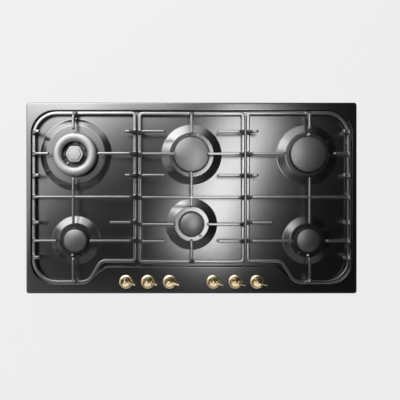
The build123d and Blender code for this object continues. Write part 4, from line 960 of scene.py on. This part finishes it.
@dataclass
class WokBurner:
    """The lids of the wok burner: a thick rounded ring and a six-sided hub."""

    shop: Workshop
    ring_r: float = 59.5
    bore_r: float = 34.6
    ring_top: float = 34.5
    ring_side: float = 3.2
    ring_squareness: float = 2.15
    ring_break: float = 0.6
    ribs: tuple[Plan, Plan] = ((41.9, 44.4), (50.1, 52.6))
    spigot: Plan = (12.1, 14.6)
    rib_depth: float = 2.0
    hub_across: float = 44.0
    hub_thick: float = 5.5
    hub_crispness: float = 10.0
    recess: float = 0.8
    table_across: Plan = (33.5, 30.5)
    table_rise: float = 2.0
    table_crispness: float = 50.0
    sides: int = 6
    turn: float = 30.0
    table_sunk: float = 0.5
    hub_radii: Sequence[float] = (0.0, 1.8, 0.4, 0.1, 0.3, 0.3, 0.1, 0.0)
    table_radii: Sequence[float] = (0.0, 0.5, 0.1, 0.0, 0.0)
    arch_points: int = 40
    ring_steps: int = 160
    hub_steps: int = 120
    table_steps: int = 180

    def build(self) -> None:
        """Makes the ring and the hub."""
        self._ring()
        self._hub()

    def _ring(self) -> None:
        """Ring section: a flat underside with two locating ribs, short sides and a half superellipse."""
        middle, half = 0.5 * (self.ring_r + self.bore_r), 0.5 * (self.ring_r - self.bore_r)
        turn = np.linspace(0.0, np.pi, self.arch_points)
        power = 2.0 / self.ring_squareness
        arch_r = middle + half * np.sign(np.cos(turn)) * np.abs(np.cos(turn)) ** power
        shoulder = CROWN_TOP + self.ring_side
        arch_z = shoulder + (self.ring_top - shoulder) * np.abs(np.sin(turn)) ** power
        arch = np.stack([arch_r, arch_z], axis=1)
        low, foot = CROWN_TOP, CROWN_TOP - self.rib_depth
        under = [(self.bore_r, low + self.ring_break), (self.bore_r + self.ring_break, low)]
        for inner, outer in self.ribs:
            under += [(inner, low), (inner, foot), (outer, foot), (outer, low)]
        under += [(self.ring_r - self.ring_break, low), (self.ring_r, low + self.ring_break)]
        profile = np.concatenate([arch, under])
        ring = Mesh().grid(lathed(profile, WOK_AT, self.ring_steps), wrap_columns=True)
        self.shop.place(ring.piece("wok_ring"), "satin_aluminium", "wok_outer_cap", "wok_outer_cap")

    def _flats(self, steps: int, crispness: float) -> Array:
        """Shape with straight sides and softly rounded corners.

        It is the inverse p-norm of the cosines to the axes of the flats; p is the crispness.

        Args:
            steps: Steps round the axis.
            crispness: How tight the corners are.

        Returns:
            Factor of the radius at each step (steps,).
        """
        angle = np.linspace(0.0, FULL_TURN, steps, endpoint=False)
        axes = math.radians(self.turn) + np.pi * np.arange(self.sides // 2) * 2.0 / self.sides
        cosines = np.abs(np.cos(angle[:, None] - axes[None, :]))
        return (cosines ** crispness).sum(axis=1) ** (-1.0 / crispness)

    def _hub(self) -> None:
        """Six-sided lid with well rounded corners, and a low crisp hexagon raised on it."""
        low, edge, deck = CROWN_TOP, 0.5 * self.hub_across, CROWN_TOP + self.hub_thick
        (inner, outer), rib, deep = self.spigot, low - self.rib_depth, low + self.recess
        corners = [(0.0, deck), (edge, deck), (edge, low), (outer, low), (outer, rib), (inner, rib),
                   (inner, deep), (0.0, deep)]
        lid = open_profile(corners, self.hub_radii, step_degrees=12.0)
        shape = self._flats(self.hub_steps, self.hub_crispness)
        mesh = Mesh().grid(lathed(lid, WOK_AT, self.hub_steps, shape))
        foot, head = (0.5 * across for across in self.table_across)
        crest, sunk = deck + self.table_rise, deck - self.table_sunk
        table = open_profile([(0.0, crest), (head, crest), (foot, deck), (foot, sunk), (0.0, sunk)],
                             self.table_radii, step_degrees=15.0)
        shape = self._flats(self.table_steps, self.table_crispness)
        mesh.grid(lathed(table, WOK_AT, self.table_steps, shape))
        self.shop.place(mesh.piece("wok_hub"), "satin_aluminium", "wok_inner_cap", "wok_inner_cap")


@dataclass
class Electrodes:
    """White ceramic electrodes with steel tips, one at each burner."""

    shop: Workshop
    radius: float = 3.0
    head_r: float = 2.55
    low: float = -14.0
    collar: Plan = (11.5, 12.5)
    top: float = 20.0
    tip_r: float = 0.9
    tip: float = 5.0
    tip_sunk: float = 1.0
    wok_pin_r: float = 31.0
    wok_pin_degrees: float = -130.0
    ceramic_radii: Sequence[float] = (0.0, 0.5, 0.4, 0.4, 0.9, 0.0)
    tip_radii: Sequence[float] = (0.0, 0.1, 0.5, 0.0)
    steps: int = 32
    tip_steps: int = 16

    def build(self) -> None:
        """Turns each ceramic with a collar and a rounded head, and each tip."""
        places = [burner.spark() for burner in BURNERS]
        places.append(on_circle(self.wok_pin_r, self.wok_pin_degrees, WOK_AT))
        ceramic = open_profile([(0.0, self.low), (self.radius, self.low), (self.radius, self.collar[0]),
                                (self.head_r, self.collar[1]), (self.head_r, self.top), (0.0, self.top)],
                               self.ceramic_radii, step_degrees=18.0)
        foot, end = self.top - self.tip_sunk, self.top + self.tip
        tip = open_profile([(0.0, foot), (self.tip_r, foot), (self.tip_r, end), (0.0, end)],
                           self.tip_radii, step_degrees=30.0)
        bodies, tips = Mesh(), Mesh()
        for place in places:
            bodies.grid(lathed(ceramic, place, self.steps))
            tips.grid(lathed(tip, place, self.tip_steps))
        self.shop.place(bodies.piece("electrode_ceramics"), "glazed_ceramic", "hob", "electrodes")
        self.shop.place(tips.piece("electrode_tips"), "steel", "hob")


# ---- knobs

@dataclass
class Knobs:
    """Six polished brass knobs with a pointer, each over a ring on the panel."""

    shop: Workshop
    low: float = 13.2
    height: float = 21.0
    radius: float = 13.0
    skirt: float = 2.1
    waist: float = 0.86
    waist_height: float = 5.2
    shoulder: float = 0.95
    slope: float = 50.0
    tip_r: float = 4.5
    bore_r: float = 4.0
    bore_depth: float = 13.0
    bore_break: Plan = (0.2, 0.3)
    bezel_r: float = 18.4
    bezel_bore_r: float = 13.8
    bezel_low: float = 9.0
    bezel_height: float = 3.0
    bezel_wall: float = 0.5
    bezel_slope: float = 2.0
    pointer_degrees: float = -16.0
    pointer_reach: float = 28.7
    pointer_half: Plan = (2.8, 4.6)
    pointer_squareness: float = 2.4
    pointer_height: float = 7.7
    pointer_close: float = 2.0
    body_radii: Sequence[float] = (0.0, 0.8, 0.8, 2.0, 1.2, 0.0)
    bezel_radii: Sequence[float] = (0.2, 0.1, 0.4, 3.0, 0.4)
    steps: int = 96
    bezel_steps: int = 80
    tip_points: int = 10
    pointer_stations: int = 26
    pointer_points: int = 24

    def build(self) -> None:
        """Makes the rings as one piece, and each knob with its pointer as one piece."""
        rings = Mesh()
        low, high = self.bezel_low, self.bezel_low + self.bezel_height
        bore_r, outer_r, slope = self.bezel_bore_r, self.bezel_r, self.bezel_slope
        ring = rounded_chain([(bore_r, low), (outer_r, low), (outer_r, low + self.bezel_wall),
                              (outer_r - slope, low + slope), (bore_r, high)],
                             self.bezel_radii, closed=True, step_degrees=8.0)[0]
        for place in KNOB_PLACES:
            rings.grid(lathed(ring, place, self.bezel_steps), wrap_columns=True)
        self.shop.place(rings.piece("knob_rings"), "satin_brass", "hob", "knob_bezels")
        for number, place in enumerate(KNOB_PLACES, start=1):
            self.shop.place(self._knob(place, number), "polished_brass", f"knob_{number}", f"knob_{number}")

    def _knob(self, place: Plan, number: int) -> bpy.types.Object:
        """Waisted body under a steep cone with a spherical tip, and the pointer out of its side.

        Args:
            place: Plan place of its axis.
            number: Its number, from the left.

        Returns:
            The knob's piece.
        """
        low, top, radius = self.low, self.low + self.height, self.radius
        turn = np.radians(np.linspace(self.slope, 0.0, self.tip_points))
        tip = np.stack([self.tip_r * np.sin(turn), top - self.tip_r * (1.0 - np.cos(turn))], axis=1)
        edge = self.shoulder * radius
        edge_z = tip[0, 1] - (edge - tip[0, 0]) * math.tan(math.radians(self.slope))
        mouth, depth = self.bore_break
        body = open_profile([(self.bore_r + mouth, low), (radius, low), (radius, low + self.skirt),
                             (self.waist * radius, low + self.waist_height), (edge, edge_z),
                             (tip[0, 0], tip[0, 1])],
                            self.body_radii, step_degrees=8.0)
        roof = low + self.bore_depth
        bore = np.array([(0.0, roof), (self.bore_r, roof), (self.bore_r, low + depth)])
        profile = np.concatenate([bore, body, tip[1:]])
        mesh = Mesh().grid(lathed(profile, place, self.steps))
        reach = self.pointer_reach * np.linspace(0.0, 1.0, self.pointer_stations)
        into = np.clip((reach - self.pointer_reach + self.pointer_close) / self.pointer_close, 0.0, 1.0)
        close = np.sqrt(np.maximum(1.0 - into ** 2, 0.0))
        half_width, half_height = self.pointer_half
        section = rounded_section(2.0 * half_width, 2.0 * half_height, self.pointer_squareness,
                                  self.pointer_points)
        angle = math.radians(self.pointer_degrees)
        forward = np.array([math.cos(angle), math.sin(angle)])
        pointer = swept(np.asarray(place), forward, reach, close, close, low + self.pointer_height, section)
        mesh.grid(pointer, wrap_rows=False, wrap_columns=True)
        return mesh.piece(f"brass_knob_{number}")


# ---- studio

@dataclass(frozen=True)
class Softbox:
    """Rectangular soft light: centre and size in metres, and angles in degrees from facing down."""

    name: str
    place: tuple[float, float, float]
    size: Plan
    turn: float
    watts: float
    spread: float = 180.0
    tilt: float = 0.0


SOFTBOXES = (
    Softbox("key_softbox", (-1.29, 1.78, 1.20), (2.20, 2.40), -11.3, 76.0, 172.0),
    Softbox("rear_softbox", (0.23, 1.28, 0.82), (0.62, 2.01), -36.1, 7.1, 172.0),
    Softbox("over_softbox", (0.132, 0.09, 0.74), (0.20, 0.60), -20.7, 0.30, 60.0),
    Softbox("side_softbox", (-1.20, 0.21, 0.92), (1.16, 2.09), -42.2, 6.8, 122.0),
    Softbox("front_softbox", (-0.03, -1.26, 0.75), (2.17, 1.64), -11.7, 2.57, 155.0),
    Softbox("front_card", (0.0, -2.6, 0.45), (5.0, 0.8), 0.0, 11.0, tilt=90.0),
    Softbox("left_card", (-2.8, -0.4, 0.45), (3.6, 0.8), -90.0, 8.0, tilt=90.0),
)


def grey(level: float) -> tuple[float, float, float, float]:
    """Opaque grey of one level."""
    return (level, level, level, 1.0)


@dataclass
class Studio:
    """Pale floor, soft lights, world and the camera of the photograph."""

    floor_height: float = -0.0503
    eye: tuple[float, float, float] = (0.0, -0.040, 1.659)
    lens: float = 54.55
    sensor: float = 36.0
    shift: Plan = (0.02125, 0.03174)
    floor_half: float = 6.0
    floor_grey: float = 0.4
    floor_roughness: float = 0.9
    pale_grey: float = 0.88
    pale_share: float = 0.95
    room_grey: float = 0.5
    room_strength: float = 0.04

    def build(self) -> None:
        """Sets floor, world, lights and camera."""
        self._floor()
        self._world()
        for softbox in SOFTBOXES:
            self._hang(softbox)
        self._camera()

    def _floor(self) -> None:
        """Pale floor that keeps a weak shadow under the cooktop."""
        size = self.floor_half
        spots = np.array([[[-size, -size], [size, -size]], [[-size, size], [size, size]]]) / MM
        level = np.full((2, 2, 1), self.floor_height / MM)
        mesh = Mesh().grid(np.concatenate([spots, level], axis=2), wrap_rows=False)
        floor = mesh.piece("studio_floor", upward=True)
        made = bpy.data.materials.new("pale_floor")
        made.use_nodes = True
        tree = made.node_tree
        shader = plug(tree, tree.nodes["Principled BSDF"], Base_Color=grey(self.floor_grey),
                      Roughness=self.floor_roughness)
        glow = add_node(tree, "Emission", Color=grey(self.pale_grey))
        rays = add_node(tree, "LightPath")
        either, share = add_node(tree, "Math"), add_node(tree, "Math")
        either.operation, share.operation = "MAXIMUM", "MULTIPLY"
        tree.links.new(rays.outputs["Is Camera Ray"], either.inputs[0])
        tree.links.new(rays.outputs["Is Glossy Ray"], either.inputs[1])
        tree.links.new(either.outputs["Value"], share.inputs[0])
        share.inputs[1].default_value = self.pale_share
        mix = add_node(tree, "MixShader", Fac=share.outputs["Value"])
        tree.links.new(shader.outputs["BSDF"], mix.inputs[1])
        tree.links.new(glow.outputs["Emission"], mix.inputs[2])
        plug(tree, tree.nodes["Material Output"], Surface=mix.outputs["Shader"])
        floor.data.materials.append(made)

    def _world(self) -> None:
        """Even grey room, seen pale by the camera."""
        world = bpy.data.worlds.new("studio_world")
        world.use_nodes = True
        tree = world.node_tree
        room = plug(tree, tree.nodes["Background"], Color=grey(self.room_grey), Strength=self.room_strength)
        seen = add_node(tree, "Background", Color=grey(self.pale_grey))
        mix = add_node(tree, "MixShader", Fac=add_node(tree, "LightPath").outputs["Is Camera Ray"])
        tree.links.new(room.outputs["Background"], mix.inputs[1])
        tree.links.new(seen.outputs["Background"], mix.inputs[2])
        plug(tree, tree.nodes["World Output"], Surface=mix.outputs["Shader"])
        bpy.context.scene.world = world

    def _hang(self, softbox: Softbox) -> None:
        """Hangs a rectangular soft light, unseen by the camera.

        Args:
            softbox: The light to hang.
        """
        data = bpy.data.lights.new(softbox.name, "AREA")
        data.shape = "RECTANGLE"
        data.size, data.size_y = softbox.size
        data.energy = softbox.watts
        data.spread = math.radians(softbox.spread)
        lamp = linked(softbox.name, data)
        lamp.location = softbox.place
        lamp.rotation_euler = (math.radians(softbox.tilt), 0.0, math.radians(softbox.turn))
        lamp.visible_camera = False

    def _camera(self) -> None:
        """Camera straight above, as in the photograph."""
        data = bpy.data.cameras.new("photo_camera")
        data.sensor_width = self.sensor
        data.lens = self.lens
        data.shift_x, data.shift_y = self.shift
        camera = linked("photo_camera", data)
        camera.location = self.eye
        bpy.context.scene.camera = camera


def main() -> None:
    """Builds the cooktop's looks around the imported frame."""
    logging.basicConfig(level=logging.INFO, format="%(name)s: %(message)s")
    bpy.context.scene.view_settings.view_transform = "Standard"
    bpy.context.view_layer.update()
    shop = Workshop(frame)
    shop.dress_kept_nodes()
    HobTop(shop).build()
    for support in (side_support(shop, -1.0), centre_support(shop), side_support(shop, 1.0)):
        support.build()
    for burner in BURNERS:
        BurnerCap(shop, burner).build()
    WokBurner(shop).build()
    Electrodes(shop).build()
    Knobs(shop).build()
    Studio().build()


if __name__ == "__main__":
    main()
